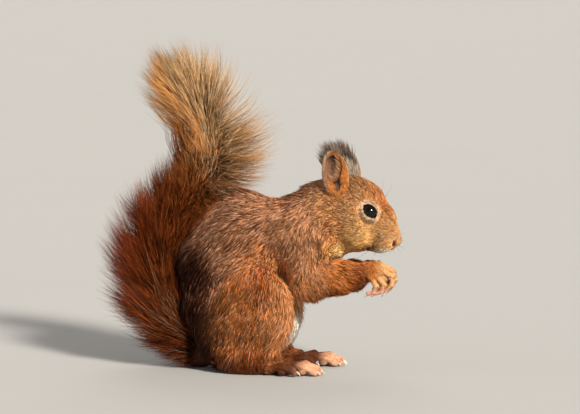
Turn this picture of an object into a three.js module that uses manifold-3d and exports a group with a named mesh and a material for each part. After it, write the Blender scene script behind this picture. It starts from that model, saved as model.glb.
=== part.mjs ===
// A red squirrel, life size, sitting upright on its haunches with its hands held together below the chin and its
// bushy tail standing in an S behind its back. Every solid reaches to the tips of the coat.
// Millimetres, +Z up, the animal faces +X and its left side is +Y. The origin is the centre of its footprint box,
// on the floor.
import * as THREE from "three";
import { mergeVertices } from "three/addons/utils/BufferGeometryUtils.js";
import Module from "manifold-3d";

const wasm = await Module();
wasm.setup();

// ---- Driving dimensions ----
const GAP = 0.3; // clear space between the lengths of one form
const ROOM = 0.5; // clear space round a form that others press against
const BELLY = { x: 14.5, z: 33, radii: [24.5, 20, 28] };
// The head's forms with their coat: ellipsoids by their centre and radii, and cones by their ends and end radii.
const HEAD = {
  skull: { x: 68, z: 96, radii: [22.6, 17.5, 22.6] },
  bridge: { from: [78.5, 98.8], to: [89.6, 85.8], radii: [12.8, 9], wide: 0.85 },
  muzzle: { x: 90.6, z: 81, radii: [9, 7.8, 8.8] },
  cheeks: { x: 72.5, z: 84, radii: [13, 16.2, 13] },
  jaw: { from: [72, 81], to: [82, 76.5], radii: [8.5, 5.4], wide: 0.9 },
};
const EYE = { x: 84.5, y: 12.2, z: 96.8, long: 4.5, deep: 3.4, high: 4.1 };
const EAR = { x: 62.8, y: 14, z: 117.5, lean: 8, long: 8.1, deep: 4.8, high: 14.3, wall: 1.3 };
const LEG_Y = 24.5; // how far each hind leg stands to the side
// The haunch: the rounded thigh, the hip behind it, the shank inside the coat and the coat's skirt at the heel.
const HAUNCH = {
  thigh: { x: 16.5, z: 37.5, radii: [23.5, 15.5, 28.5] },
  hip: { x: 1, inward: 4.5, z: 26, radii: [23, 15, 25] },
  shank: { from: [21, 29.5], to: [13, 12], radii: [15.5, 12.5], wide: 0.85 },
  skirt: { x: 13, z: 11, radii: [20.5, 13, 12] },
};
const TOE_Y = 25; // the middle of each hind foot
const ARM_Y = { shoulder: 15, elbow: 18, middle: 14, wrist: 7.5 };
const ARM_X = { shoulder: 41, elbow: 48, middle: 65, wrist: 80 };
const LEFT_BACK = { haunch: 8, hand: 3 }; // the left side sits this much further back
const STRIDE = 0.7; // how much of its depth a ray goes on by as it looks for the surface
const LEAST_STRIDE = 0.25;

// ---- Stations: x, z, half height and half width, along the middle plane ----
const TRUNK = [
  [-8.5, 18.5, 19.5, 24],
  [-10.5, 39.5, 26.5, 27],
  [-8, 62.5, 30, 27],
  [3.5, 76.5, 30.5, 25.5],
  [23, 76.5, 25.5, 23.5],
  [39.5, 81.5, 24.5, 21],
  [54, 93.5, 22.8, 19],
];
const TAIL = [
  [-29, 9.5, 10, 14],
  [-44.5, 22.5, 18, 23],
  [-61, 47.5, 23, 29],
  [-63, 68.5, 22, 31],
  [-55, 89, 23.5, 30],
  [-33, 106.5, 23, 27],
  [-7, 124, 26, 25],
  [-3.8, 141, 28.3, 23],
  [-15, 157.5, 29, 22],
  [-29.5, 170, 25.5, 20],
  [-44.5, 172.5, 18.5, 15],
];

// ---- Shapes as signed distances: a function of a point, negative inside ----
const at = (x, y, z) => new THREE.Vector3(x, y, z);

function smoothMin(a, b, k) {
  const h = Math.max(k - Math.abs(a - b), 0) / k;
  return Math.min(a, b) - h * h * k * 0.25;
}

const join = (k, ...shapes) => (p) => shapes.map((s) => s(p)).reduce((a, b) => smoothMin(a, b, k));
const grown = (shape, by) => (p) => shape(p) - by;

// An ellipsoid, turned nose-down by pitch degrees.
function blob(centre, radii, pitch = 0) {
  const turn = (pitch * Math.PI) / 180;
  const cos = Math.cos(turn);
  const sin = Math.sin(turn);
  return (p) => {
    const x = p.x - centre.x;
    const z = p.z - centre.z;
    const q = [x * cos - z * sin, p.y - centre.y, x * sin + z * cos];
    const near = Math.hypot(...q.map((v, i) => v / radii[i]));
    const slope = Math.hypot(...q.map((v, i) => v / radii[i] ** 2)) + 1e-9;
    return (near * (near - 1)) / slope;
  };
}

// A cone with round ends from a to b; wide is its width across Y as a share of its height.
function limb(a, b, ra, rb, wide = 1) {
  const squeeze = (v) => at(v.x, v.y / wide, v.z);
  const from = squeeze(a);
  const along = squeeze(b).sub(from);
  const square = along.lengthSq();
  return (p) => {
    const q = squeeze(p).sub(from);
    const t = THREE.MathUtils.clamp(q.dot(along) / square, 0, 1);
    return (q.addScaledVector(along, -t).length() - (ra + (rb - ra) * t)) * Math.min(1, wide);
  };
}

// An ellipsoid or a cone of the lists above, moved to x and y.
function formAt({ x = 0, z, radii, from, to, wide }, shift, y) {
  if (from) return limb(at(from[0] + shift, y, from[1]), at(to[0] + shift, y, to[1]), ...radii, wide);
  return blob(at(x + shift, y, z), radii);
}

// Limbs from each station to the next, blended.
function chain(stations, k) {
  const pieces = stations.slice(1).map(([x, z, r, w], i) => {
    const [x0, z0, r0, w0] = stations[i];
    return limb(at(x0, 0, z0), at(x, 0, z), r0, r, (w0 / r0 + w / r) / 2);
  });
  return join(k, ...pieces);
}

// ---- Solids ----
function solidOf(geometry) {
  const bare = new THREE.BufferGeometry();
  bare.setAttribute("position", geometry.getAttribute("position"));
  bare.setIndex(geometry.index);
  const merged = mergeVertices(bare, 1e-4);
  const made = (flip) => {
    const triVerts = new Uint32Array(merged.index.array);
    for (let i = 0; flip && i < triVerts.length; i += 3) {
      [triVerts[i + 1], triVerts[i + 2]] = [triVerts[i + 2], triVerts[i + 1]];
    }
    const vertProperties = merged.attributes.position.array;
    return new wasm.Manifold(new wasm.Mesh({ numProp: 3, vertProperties, triVerts }));
  };
  const solid = made(false);
  return solid.volume() < 0 ? made(true) : solid;
}

// The first distance along a ray from inside at which the shape ends.
function reach(shape, origin, direction) {
  const depth = (t) => -shape(origin.clone().addScaledVector(direction, t));
  let near = 0;
  let far = 0;
  for (let ahead = depth(0); ahead > 0; ahead = depth(far)) {
    near = far;
    far += Math.max(ahead * STRIDE, LEAST_STRIDE);
  }
  for (let i = 0; i < 10; i += 1) {
    const middle = (near + far) / 2;
    if (depth(middle) > 0) near = middle;
    else far = middle;
  }
  return near;
}

const curveOf = (points) => new THREE.CatmullRomCurve3(points, false, "centripetal");

// The places along a spine from which rays leave, square to it: from a share of its length to another. An end of
// the spine is rounded by rings that lean over it, and any other end is flat, half a gap short.
function stopsOf(spine, from, to, rings, capRings) {
  const stop = (u, shift, lean) => {
    const along = spine.getTangentAt(u);
    const side = at(0, 1, 0).addScaledVector(along, -along.y).normalize();
    const origin = spine.getPointAt(u).addScaledVector(along, shift);
    return { origin, along, side, up: side.clone().cross(along), lean };
  };
  const leans = Array.from({ length: capRings }, (_, i) => ((i + 1) / (capRings + 1)) * (Math.PI / 2));
  const inside = Array.from({ length: rings }, (_, i) => {
    const flatStart = i === 0 && from > 0 ? GAP / 2 : 0;
    const flatEnd = i === rings - 1 && to < 1 ? GAP / 2 : 0;
    return stop(THREE.MathUtils.lerp(from, to, i / (rings - 1)), flatStart - flatEnd, 0);
  });
  const before = from > 0 ? [] : leans.toReversed().map((lean) => stop(0, 0, -lean));
  const after = to < 1 ? [] : leans.map((lean) => stop(1, 0, lean));
  return [...before, ...inside, ...after];
}

// A closed skin round a shape, from rays that leave a spine and end where the shape does.
function wrap(shape, spine, rings, segments, { capRings = 2, from = 0, to = 1 } = {}) {
  const stops = stopsOf(spine, from, to, rings, capRings);
  const touch = (origin, direction) => origin.clone().addScaledVector(direction, reach(shape, origin, direction));
  const first = stops[0];
  const final = stops[stops.length - 1];
  const points = [from > 0 ? first.origin : touch(first.origin, first.along.clone().negate())];
  stops.forEach(({ origin, along, side, up, lean }) => {
    for (let s = 0; s < segments; s += 1) {
      const turn = (s / segments) * Math.PI * 2;
      const outward = side.clone().multiplyScalar(Math.cos(turn)).addScaledVector(up, Math.sin(turn));
      points.push(touch(origin, outward.multiplyScalar(Math.cos(lean)).addScaledVector(along, Math.sin(lean))));
    }
  });
  points.push(to < 1 ? final.origin : touch(final.origin, final.along));
  const index = [];
  const id = (ring, s) => 1 + ring * segments + (s % segments);
  const last = points.length - 1;
  for (let s = 0; s < segments; s += 1) {
    index.push(0, id(0, s + 1), id(0, s));
    index.push(last, id(stops.length - 1, s), id(stops.length - 1, s + 1));
    for (let ring = 0; ring < stops.length - 1; ring += 1) {
      index.push(id(ring, s), id(ring, s + 1), id(ring + 1, s));
      index.push(id(ring, s + 1), id(ring + 1, s + 1), id(ring + 1, s));
    }
  }
  const geometry = new THREE.BufferGeometry().setFromPoints(points);
  geometry.setIndex(index);
  return solidOf(geometry);
}

// The same skin in lengths that end at shares of the spine, a gap apart.
function lengths(shape, spine, ends, rings, segments, capRings = 2) {
  return [...ends, 1].map((to, i) => {
    const from = i ? ends[i - 1] : 0;
    const share = Math.max(2, Math.round((to - from) * rings) + 1);
    return wrap(shape, spine, share, segments, { capRings, from, to });
  });
}

const SKY = 400;
const aboveFloor = solidOf(new THREE.BoxGeometry(SKY, SKY, SKY).translate(0, 0, SKY / 2));

function largest(solid) {
  return solid.decompose().reduce((a, b) => (a.volume() > b.volume() ? a : b));
}

const group = new THREE.Group();
const SIDES = { right: -1, left: 1 };

function place(name, solid, colour, roughness = 0.9) {
  const mesh = largest(solid.intersect(aboveFloor)).getMesh();
  const geometry = new THREE.BufferGeometry();
  const corners = new Float32Array(mesh.numVert * 3);
  for (let i = 0; i < mesh.numVert; i += 1) {
    corners.set(mesh.vertProperties.subarray(i * mesh.numProp, i * mesh.numProp + 3), i * 3);
  }
  geometry.setAttribute("position", new THREE.BufferAttribute(corners, 3));
  geometry.setIndex(new THREE.BufferAttribute(mesh.triVerts, 1));
  const flat = geometry.toNonIndexed();
  flat.computeVertexNormals();
  const material = new THREE.MeshStandardMaterial({ color: colour, roughness, metalness: 0 });
  const made = new THREE.Mesh(flat, material);
  made.name = name;
  group.add(made);
}

// ---- Colours ----
const COAT = {
  back: 0x8a4f2e,
  thigh: 0x9c5526,
  head: 0xa9683a,
  arm: 0xa65a26,
  paw: 0xb0602c,
  ear: 0x7a4a34,
  tailRoot: 0x4f2613,
  tailMiddle: 0x6d3014,
  tailEnd: 0xa8733f,
};
const EYE_BLACK = 0x080606;

// ---- Trunk, neck and head: one form, parted by two thin cuts ----
const headShape = join(5, ...Object.values(HEAD).map((form) => formAt(form, 0, 0)));
const bodyShape = join(8, chain(TRUNK, 6), formAt(BELLY, 0, 0), headShape);
// The body's spine is an arc about a point in front of the belly, so that no two of its rings cross.
const BEND = { x: 50, z: 38, radius: 57 };
const bent = (degrees) => {
  const turn = THREE.MathUtils.degToRad(degrees);
  return at(BEND.x - BEND.radius * Math.cos(turn), 0, BEND.z + BEND.radius * Math.sin(turn));
};
const BODY_SPINE = curveOf([
  at(-7, 0, 18),
  ...[0, 22, 45, 68, 90].map(bent),
  at(68, 0, 94),
  at(80, 0, 89.5),
  at(91, 0, 81),
]);
const NECK_ENDS = [0.64, 0.75];
const BODY_RINGS = 26;
const BODY_SEGMENTS = 22;
const bodyRoom = wrap(grown(bodyShape, ROOM), BODY_SPINE, BODY_RINGS, BODY_SEGMENTS);
const [trunk, neck, headBlock] = lengths(bodyShape, BODY_SPINE, NECK_ENDS, BODY_RINGS, BODY_SEGMENTS);

// ---- Eyes ----
function eyeShape(side) {
  return blob(at(EYE.x, EYE.y * side, EYE.z), [EYE.long, EYE.deep, EYE.high]);
}
const eyeSpine = (side) => curveOf([-1, 1].map((i) => at(EYE.x + i, EYE.y * side, EYE.z)));
const wrapEye = (side, by) => wrap(grown(eyeShape(side), by), eyeSpine(side), 2, 9);
const head = Object.values(SIDES).reduce((left, side) => left.subtract(wrapEye(side, ROOM)), headBlock);

place("trunk", trunk, COAT.back);
place("neck", neck, COAT.back);
place("head", head, COAT.head);
Object.entries(SIDES).forEach(([word, side]) => place(`eye_${word}`, wrapEye(side, 0), EYE_BLACK, 0.15));

// ---- Ears: a cupped shell that opens forward and outward, with a short tuft on its tip ----
function ear(side) {
  const middle = at(EAR.x, EAR.y * side, EAR.z);
  const tip = at(EAR.x - 1.5, (EAR.y + 2.5) * side, EAR.z + EAR.high - 3);
  const tuft = limb(tip, tip.clone().add(at(0.5, 1.5 * side, 8)), 3.2, 0.9, 0.7);
  const outer = join(2, blob(middle, [EAR.long, EAR.deep, EAR.high], -EAR.lean), tuft);
  const inside = at(EAR.x + 0.8, (EAR.y + EAR.deep * 0.9) * side, EAR.z + 0.5);
  const hollow = blob(inside, [EAR.long - EAR.wall, EAR.deep * 1.3, EAR.high - EAR.wall * 2], -EAR.lean);
  const core = curveOf([middle.clone().add(at(0.3, 0, -8)), middle, tip.clone().lerp(middle, 0.3)]);
  const hollowCore = curveOf([inside.clone().add(at(0.6, 0, -5)), inside.clone().add(at(-0.6, 0, 5))]);
  return wrap(outer, core, 5, 10).subtract(wrap(hollow, hollowCore, 3, 8, { capRings: 1 }));
}
Object.entries(SIDES).forEach(([word, side]) => place(`ear_${word}`, ear(side).subtract(bodyRoom), COAT.ear));

// ---- Hind legs: thigh and lower leg are one rounded haunch, parted at the knee line ----
const backward = (side, by) => (side > 0 ? -by : 0);

function haunchCore(side) {
  const line = [[16.5, 52], [17, 38], [15, 24], [12, 12]];
  return curveOf(line.map(([x, z]) => at(x + backward(side, LEFT_BACK.haunch), LEG_Y * side, z)));
}

function haunchShape(side) {
  const y = LEG_Y * side;
  const back = backward(side, LEFT_BACK.haunch);
  const { thigh, hip, shank, skirt } = HAUNCH;
  const outer = [thigh, shank, skirt].map((form) => formAt(form, back, y));
  return join(8, ...outer, formAt(hip, back, y - hip.inward * side));
}

// ---- Paws: digits are chains of short bones from the paw's body, and the last bone is the claw ----
const CLAW = { root: 0.9, point: 0.3 };

function digit(joints, radii, clawTip, rings) {
  const stops = [...joints, clawTip];
  const sizes = [...radii, CLAW.root];
  const bones = joints.slice(1).map((end, i) => limb(joints[i], end, sizes[i], sizes[i + 1]));
  const claw = limb(joints[joints.length - 1], clawTip, CLAW.root, CLAW.point);
  return wrap(join(0.6, ...bones, claw), curveOf(stops), rings, 6, { capRings: 1 });
}

// Hind digits from the inner to the outer: sideways place and tip, in millimetres from the heel.
const TOES = [
  { out: -9.4, tip: 39 },
  { out: -4.8, tip: 51 },
  { out: 0, tip: 53 },
  { out: 4.8, tip: 52 },
  { out: 9.4, tip: 41 },
];
const TOE_RADII = [2.3, 2.2, 2, 1.5];
const HEEL_X = 6;
const ROOT_X = 22.5;

function foot(side) {
  const y = TOE_Y * side;
  const sole = join(
    3,
    limb(at(HEEL_X, y, 5), at(HEEL_X + 24, y, 4.6), 5.2, 4.8, 1.25),
    limb(at(HEEL_X + 22, y - 5 * side, 4), at(HEEL_X + 22, y + 5 * side, 4), 4.2, 4.2),
  );
  const start = wrap(sole, curveOf([at(HEEL_X, y, 4.8), at(HEEL_X + 23, y, 4.5)]), 3, 10, { capRings: 1 });
  return TOES.reduce((paw, { out, tip }) => {
    const across = (share) => y + out * share * side;
    const knuckle = HEEL_X + tip - 11;
    const joints = [
      at(HEEL_X + ROOT_X, across(0.75), 4.2),
      at(knuckle, across(1), 6.4),
      at(knuckle + 6.5, across(1.05), 3.6),
      at(HEEL_X + tip - 3, across(1.08), 1.9),
    ];
    return paw.add(digit(joints, TOE_RADII, at(HEEL_X + tip, across(1.1), 0.8), 5));
  }, start);
}

// Fingers from the inner to the outer: the knuckle, both joints, the tip and the claw, from the wrist.
const FINGERS = [
  [[10, 4, 3.4], [16.5, 3.9, 0.6], [18, 3.7, -5.2], [15.2, 3.4, -9.4], [13.6, 3.2, -11.6]],
  [[10.5, 1.1, 2], [16.8, 1, -2], [17, 0.8, -7.4], [13.8, 0.7, -11], [12, 0.7, -13]],
  [[9.5, -1.9, 0], [14.6, -2, -3.8], [14.6, -2.1, -8.8], [11.2, -2, -11.8], [9.4, -1.9, -13.6]],
  [[7, -4.7, -1.6], [11, -4.9, -6], [9.6, -4.9, -10], [6.4, -4.7, -12], [4.6, -4.5, -13.4]],
];
const FINGER_RADII = [2.1, 2, 1.85, 1.7, 1.2];
const WRIST_Z = 60.5;
const wristOf = (side) => at(ARM_X.wrist + backward(side, LEFT_BACK.hand), ARM_Y.wrist * side, WRIST_Z);

function hand(side) {
  const wrist = wristOf(side);
  const fromWrist = ([x, y, z]) => at(wrist.x + x, wrist.y - y * side, wrist.z + z);
  const palmEnd = fromWrist([7, 0, 0.4]);
  const palm = join(2, limb(wrist, palmEnd, 5.2, 4.6, 0.95), blob(fromWrist([4, 4.2, 4]), [3, 2, 2.4]));
  return FINGERS.reduce((paw, finger) => {
    const root = [6.5, finger[0][1] * 0.6, finger[0][2] * 0.5];
    const joints = [root, ...finger].map(fromWrist);
    const clawTip = joints.pop();
    return paw.add(digit(joints, FINGER_RADII, clawTip, 7));
  }, wrap(palm, curveOf([wrist, palmEnd]), 3, 10, { capRings: 1 }));
}

// ---- Arms ----
const elbowOf = (side) => at(ARM_X.elbow, ARM_Y.elbow * side, 54.5);

function upperArm(side, by) {
  const shoulder = at(ARM_X.shoulder, ARM_Y.shoulder * side, 78);
  const shape = limb(shoulder, elbowOf(side), 15, 10.8, 0.8);
  return wrap(grown(shape, by), curveOf([shoulder, elbowOf(side)]), 4, 12);
}

function forearm(side, by) {
  const middle = at(ARM_X.middle, ARM_Y.middle * side, 57.5);
  const near = limb(elbowOf(side), middle, 10.6, 10.2, 0.85);
  const far = limb(middle, wristOf(side), 10, 5.6, 0.85);
  return wrap(grown(join(5, near, far), by), curveOf([elbowOf(side), middle, wristOf(side)]), 7, 12);
}

Object.entries(SIDES).forEach(([word, side]) => {
  const [thigh, lowerLeg] = lengths(haunchShape(side), haunchCore(side), [0.65], 7, 14);
  const legRoom = wrap(grown(haunchShape(side), ROOM), haunchCore(side), 7, 14);
  place(`thigh_${word}`, thigh.subtract(bodyRoom), COAT.thigh);
  place(`lower_leg_${word}`, lowerLeg.subtract(bodyRoom), COAT.thigh);
  place(`foot_${word}`, foot(side).subtract(legRoom).subtract(bodyRoom), COAT.paw);
  const upperRoom = upperArm(side, ROOM);
  place(`upper_arm_${word}`, upperArm(side, 0).subtract(bodyRoom).subtract(legRoom), COAT.arm);
  place(`forearm_${word}`, forearm(side, 0).subtract(upperRoom).subtract(bodyRoom).subtract(legRoom), COAT.arm);
  place(`hand_${word}`, hand(side).subtract(forearm(side, ROOM)), COAT.paw);
});

// ---- Tail: one S-shaped brush, parted across its core; the upper bend of the core is an arc ----
const TAIL_BEND = { x: -44, z: 137, radius: 39 };
const tailBend = (degrees) => {
  const turn = THREE.MathUtils.degToRad(degrees);
  return at(TAIL_BEND.x + TAIL_BEND.radius * Math.cos(turn), 0, TAIL_BEND.z + TAIL_BEND.radius * Math.sin(turn));
};
const TAIL_SPINE = curveOf([
  at(-30, 0, 10),
  at(-44, 0, 24),
  at(-55, 0, 43),
  at(-59, 0, 62),
  at(-56, 0, 79),
  at(-46, 0, 92),
  ...[-72, -52, -28, 0, 30, 60, 88].map(tailBend),
]);
const TAIL_LENGTHS = [
  { name: "root", colour: COAT.tailRoot, end: 0.17 },
  { name: "base", colour: COAT.tailRoot, end: 0.34 },
  { name: "lower", colour: COAT.tailMiddle, end: 0.5 },
  { name: "middle", colour: COAT.tailMiddle, end: 0.68 },
  { name: "fan", colour: COAT.tailEnd, end: 0.85 },
  { name: "tip", colour: COAT.tailEnd },
];
const tailEnds = TAIL_LENGTHS.slice(0, -1).map(({ end }) => end);
const tailPieces = lengths(chain(TAIL, 5), TAIL_SPINE, tailEnds, 24, 16, 3);
TAIL_LENGTHS.forEach(({ name, colour }, i) => place(`tail_${name}`, tailPieces[i].subtract(bodyRoom), colour));

// ---- Frame: the origin goes to the middle of the footprint box ----
const reachOf = new THREE.Box3().setFromObject(group);
const middle = reachOf.getCenter(at(0, 0, 0));
group.position.set(-middle.x, -middle.y, -reachOf.min.z);

export default group;
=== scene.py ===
"""A red squirrel sitting on its haunches: one skin with lids, nose, ears and paws, and a coat of mesh tufts.

The forms are worked out in millimetres in the part's own frame, where x points the way the animal faces.
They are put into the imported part's frame at the end.
"""
import math
from typing import NamedTuple

import bpy
import numpy as np
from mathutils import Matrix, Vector
from mathutils.kdtree import KDTree
from numpy.linalg import norm


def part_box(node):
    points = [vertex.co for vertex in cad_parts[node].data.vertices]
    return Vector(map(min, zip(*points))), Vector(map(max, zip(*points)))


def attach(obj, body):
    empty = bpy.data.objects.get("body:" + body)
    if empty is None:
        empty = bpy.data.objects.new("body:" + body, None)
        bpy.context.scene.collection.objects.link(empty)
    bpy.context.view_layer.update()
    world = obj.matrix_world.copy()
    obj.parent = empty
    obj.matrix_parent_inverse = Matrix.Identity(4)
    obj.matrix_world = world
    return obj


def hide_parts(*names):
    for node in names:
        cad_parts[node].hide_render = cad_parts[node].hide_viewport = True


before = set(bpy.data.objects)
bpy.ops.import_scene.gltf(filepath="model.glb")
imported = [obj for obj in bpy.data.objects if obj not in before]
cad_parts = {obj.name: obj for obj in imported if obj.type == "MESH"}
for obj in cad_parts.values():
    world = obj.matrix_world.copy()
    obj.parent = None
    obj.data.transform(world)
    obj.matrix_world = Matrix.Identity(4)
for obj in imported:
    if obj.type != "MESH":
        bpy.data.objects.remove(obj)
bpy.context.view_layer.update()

# ---- Places that the flesh and the solids share, in millimetres ----
EYE = np.array([84.5, 12.2, 96.8])
EYE_SHIFT = np.array([-0.9, 0.0, -0.1])  # from the middle of the eye's solid to the opening's
LEG_Y = 24.5
TOE_Y = 25.0
LEFT_BACK = {"haunch": 8.0, "hand": 3.0}  # how far these sit behind the right ones
LEFT_ARM_THINNER = 0.8  # so that the left arm stays behind the right one
BEND = np.array([50.0, 0.0, 38.0])  # the body curls round this point
WRIST = np.array([80.0, 7.5, 60.5])
ELBOW = np.array([48.0, 18.0, 54.5])
HEEL_X = 6.0
# Stations of the trunk and of the tail's coat: x, z, half the height and half the width.
TRUNK = [
    [-8.5, 18.5, 19.5, 24],
    [-10.5, 39.5, 26.5, 27],
    [-8, 62.5, 30, 27],
    [3.5, 76.5, 30.5, 25.5],
    [23, 76.5, 25.5, 23.5],
    [39.5, 81.5, 24.5, 21],
    [54, 93.5, 22.8, 19],
]
TAIL_COAT = [
    [-29, 9.5, 10, 14],
    [-44.5, 22.5, 18, 23],
    [-61, 47.5, 23, 29],
    [-63, 68.5, 22, 31],
    [-55, 89, 23.5, 30],
    [-33, 106.5, 23, 27],
    [-7, 124, 26, 25],
    [-3.8, 141, 28.3, 23],
    [-15, 157.5, 29, 22],
    [-29.5, 170, 25.5, 20],
    [-44.5, 172.5, 18.5, 15],
]
# The bony core of the tail: x, z and radius.
TAIL_CORE = [
    [-14, 11.5, 10],
    [-25, 9.2, 8.6],
    [-40, 18, 6.5],
    [-48.5, 40, 6],
    [-50, 64, 5.5],
    [-43, 84, 5.2],
    [-29, 101, 5],
    [-18.5, 118, 4.8],
    [-18.5, 137, 4.4],
    [-28, 155, 3.8],
    [-36, 166, 3],
]
SIDES = (-1, 1)
rng = np.random.default_rng(7)


def shift():
    """How far the part's frame lies from the forms' own, along x."""
    low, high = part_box("eye_right")
    return np.array([(low.x + high.x) / 2 * 1000 - EYE[0], 0.0, 0.0])


SHIFT = shift()


def to_frame(points):
    """From the forms' millimetres to the frame's metres."""
    return (points + SHIFT) * 0.001


def back(side, part):
    """How far along x a part of that side is moved."""
    return -LEFT_BACK[part] if side > 0 else 0.0


def sided(point, side):
    return np.array([point[0], point[1] * side, point[2]], float)


# ---- Rounded forms as signed distances ----
class Form(NamedTuple):
    """A rounded form: near(points) is its signed distance, and it matters only between low and high."""

    near: object
    low: np.ndarray
    high: np.ndarray


def smooth_min(a, b, k):
    """The smaller of the two, rounded where they differ by less than k."""
    h = np.maximum(k - np.abs(a - b), 0) / k
    return np.minimum(a, b) - h * h * k * 0.25


def nose_down(pitch):
    p = math.radians(pitch)
    return np.array([[math.cos(p), 0, math.sin(p)], [0, 1, 0], [-math.sin(p), 0, math.cos(p)]])


def blob(centre, radii, pitch=0.0):
    centre, radii = np.asarray(centre, float), np.asarray(radii, float)
    turn = nose_down(pitch)

    def near(p):
        q = (p - centre) @ turn
        k0 = norm(q / radii, axis=-1)
        k1 = norm(q / radii**2, axis=-1) + 1e-9
        return k0 * (k0 - 1) / k1

    size = np.abs(turn) @ radii
    return Form(near, centre - size, centre + size)


def limb(a, b, ra, rb, wide=1.0):
    """A round-ended cone from a to b, whose width is wide times its height."""
    a, b = np.asarray(a, float), np.asarray(b, float)
    squeeze = np.array([1, 1 / wide, 1])
    start, along = a * squeeze, (b - a) * squeeze
    square = along @ along

    def near(p):
        q = p * squeeze - start
        t = np.clip(q @ along / square, 0, 1)
        d = norm(q - t[..., None] * along, axis=-1) - (ra + (rb - ra) * t)
        return d * min(1.0, wide)

    size = max(ra, rb) * np.array([1.0, max(1.0, wide), 1.0])
    return Form(near, np.minimum(a, b) - size, np.maximum(a, b) + size)


def carved(form, hollow, k):
    """The form without the hollow, with edges rounded by k."""
    return Form(lambda p: -smooth_min(-form.near(p), hollow.near(p), k), form.low, form.high)


def bones(joints, sizes):
    """A limb from each joint to the next, with those radii at the joints."""
    return [limb(a, b, ra, rb) for a, b, ra, rb in zip(joints, joints[1:], sizes, sizes[1:])]


def joined(forms, k):
    def near(p):
        d = forms[0].near(p)
        for form in forms[1:]:
            d = smooth_min(d, form.near(p), k)
        return d

    low = np.min([f.low for f in forms], axis=0)
    return Form(near, low, np.max([f.high for f in forms], axis=0))


def chain(stations, k=6.0, inset=0.0):
    """Limbs from each station to the next."""
    pieces = []
    for (x0, z0, r0, w0), (x1, z1, r1, w1) in zip(stations, stations[1:]):
        wide = ((w0 - inset) / (r0 - inset) + (w1 - inset) / (r1 - inset)) / 2
        pieces.append(limb((x0, 0, z0), (x1, 0, z1), r0 - inset, r1 - inset, wide))
    return joined(pieces, k)


# ---- The way the hair lies in each region ----
def ways(p, x, y, z):
    """A way at each point, from numbers or from values at the points."""
    return np.stack([part + np.zeros(len(p)) for part in (x, y, z)], 1)


def steady(x, y, z):
    return lambda p: ways(p, x, y, z)


def round_bend(p):
    """From the head over the back to the rump, round the body's bend, and down the shoulder."""
    q = p - BEND
    shoulder = ramp(p[:, 0], 20, 42) * ramp(np.abs(p[:, 1]), 6, 15)
    return unit(ways(p, -q[:, 2], 0, q[:, 0])) + shoulder[:, None] * [-0.1, 0, -1.3]


def from_nose(p):
    return p - np.array([104.0, 0.0, 84.0])


def from_belly_line(p):
    return ways(p, -0.2, 0.6 * np.sign(p[:, 1]), -1)


def toward_knee(p):
    """Out over the haunch's top and down its side, which spreads to the front and the back."""
    return ways(p, 0.75 * np.clip((p[:, 0] - 30) / 40, -1, 0.4), 0.7 * np.sign(p[:, 1]), -1)


def to_wrist(p):
    below = np.clip((58 - p[:, 2]) / 12, 0, 1)
    return ways(p, 0.8, -0.2 * np.sign(p[:, 1]), -0.4 - 0.4 * below)


def down_fingers(p):
    """Over the back of the hand, and then down its fingers."""
    down = ramp(p[:, 2], 59.5, 55.5)
    return ways(p, 1.0 - 0.85 * down, 0, -0.45 - 0.55 * down)


class Region:
    """A region's coat: its depth, and its tufts' length, lift in degrees, width and number in mm²."""

    def __init__(self, coat, length, lift, width, density, flow):
        self.coat = coat
        self.numbers = np.array([length, lift, width, density], float)
        self.flow = flow


REGIONS = {
    "back": Region(3.4, 9.6, 19, 0.54, 2.2, round_bend),
    "belly": Region(3.2, 7.5, 17, 0.50, 2.6, from_belly_line),
    "neck": Region(3.0, 7.6, 20, 0.5, 2.5, steady(-1, 0, -0.8)),
    "crown": Region(2.0, 4.2, 21, 0.38, 4.6, from_nose),
    "cheek": Region(2.0, 4.4, 21, 0.38, 4.6, lambda p: from_nose(p) + np.array([0, 0, -12.0])),
    "face": Region(1.1, 2.4, 19, 0.26, 7.5, from_nose),
    "nose": Region(0.15, 0.8, 12, 0.17, 10.0, from_nose),
    "thigh": Region(2.8, 9.4, 18, 0.5, 2.5, toward_knee),
    "shin": Region(2.0, 5.5, 18, 0.45, 2.8, steady(0.15, 0, -1)),
    "foot": Region(0.5, 1.9, 7, 0.26, 6.0, steady(1, 0, -0.1)),
    "upper_arm": Region(2.4, 7.2, 19, 0.48, 2.7, steady(-0.25, 0, -1)),
    "forearm": Region(1.8, 5.2, 18, 0.4, 3.5, to_wrist),
    "hand": Region(0.4, 1.2, 8, 0.2, 10.5, down_fingers),
    "ear": Region(0.9, 3.2, 20, 0.24, 6.0, steady(-0.25, 0, 1)),
    "tail": Region(0.5, 3.0, 30, 0.4, 0.8, steady(0, 0, 1)),
}
REGION_NAMES = list(REGIONS)
GROWTH = np.array([region.numbers for region in REGIONS.values()])


# ---- The flesh: (region, form, how softly it joins what comes before it) ----
def torso():
    inset = REGIONS["back"].coat
    back_line = chain(TRUNK, 6.0, inset)
    depth = REGIONS["belly"].coat
    belly = blob((14.5, 0, 33), (24.5 - depth, 20 - depth, 28 - depth))
    return [("back", back_line, 1.0), ("belly", belly, 8.0)]


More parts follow.
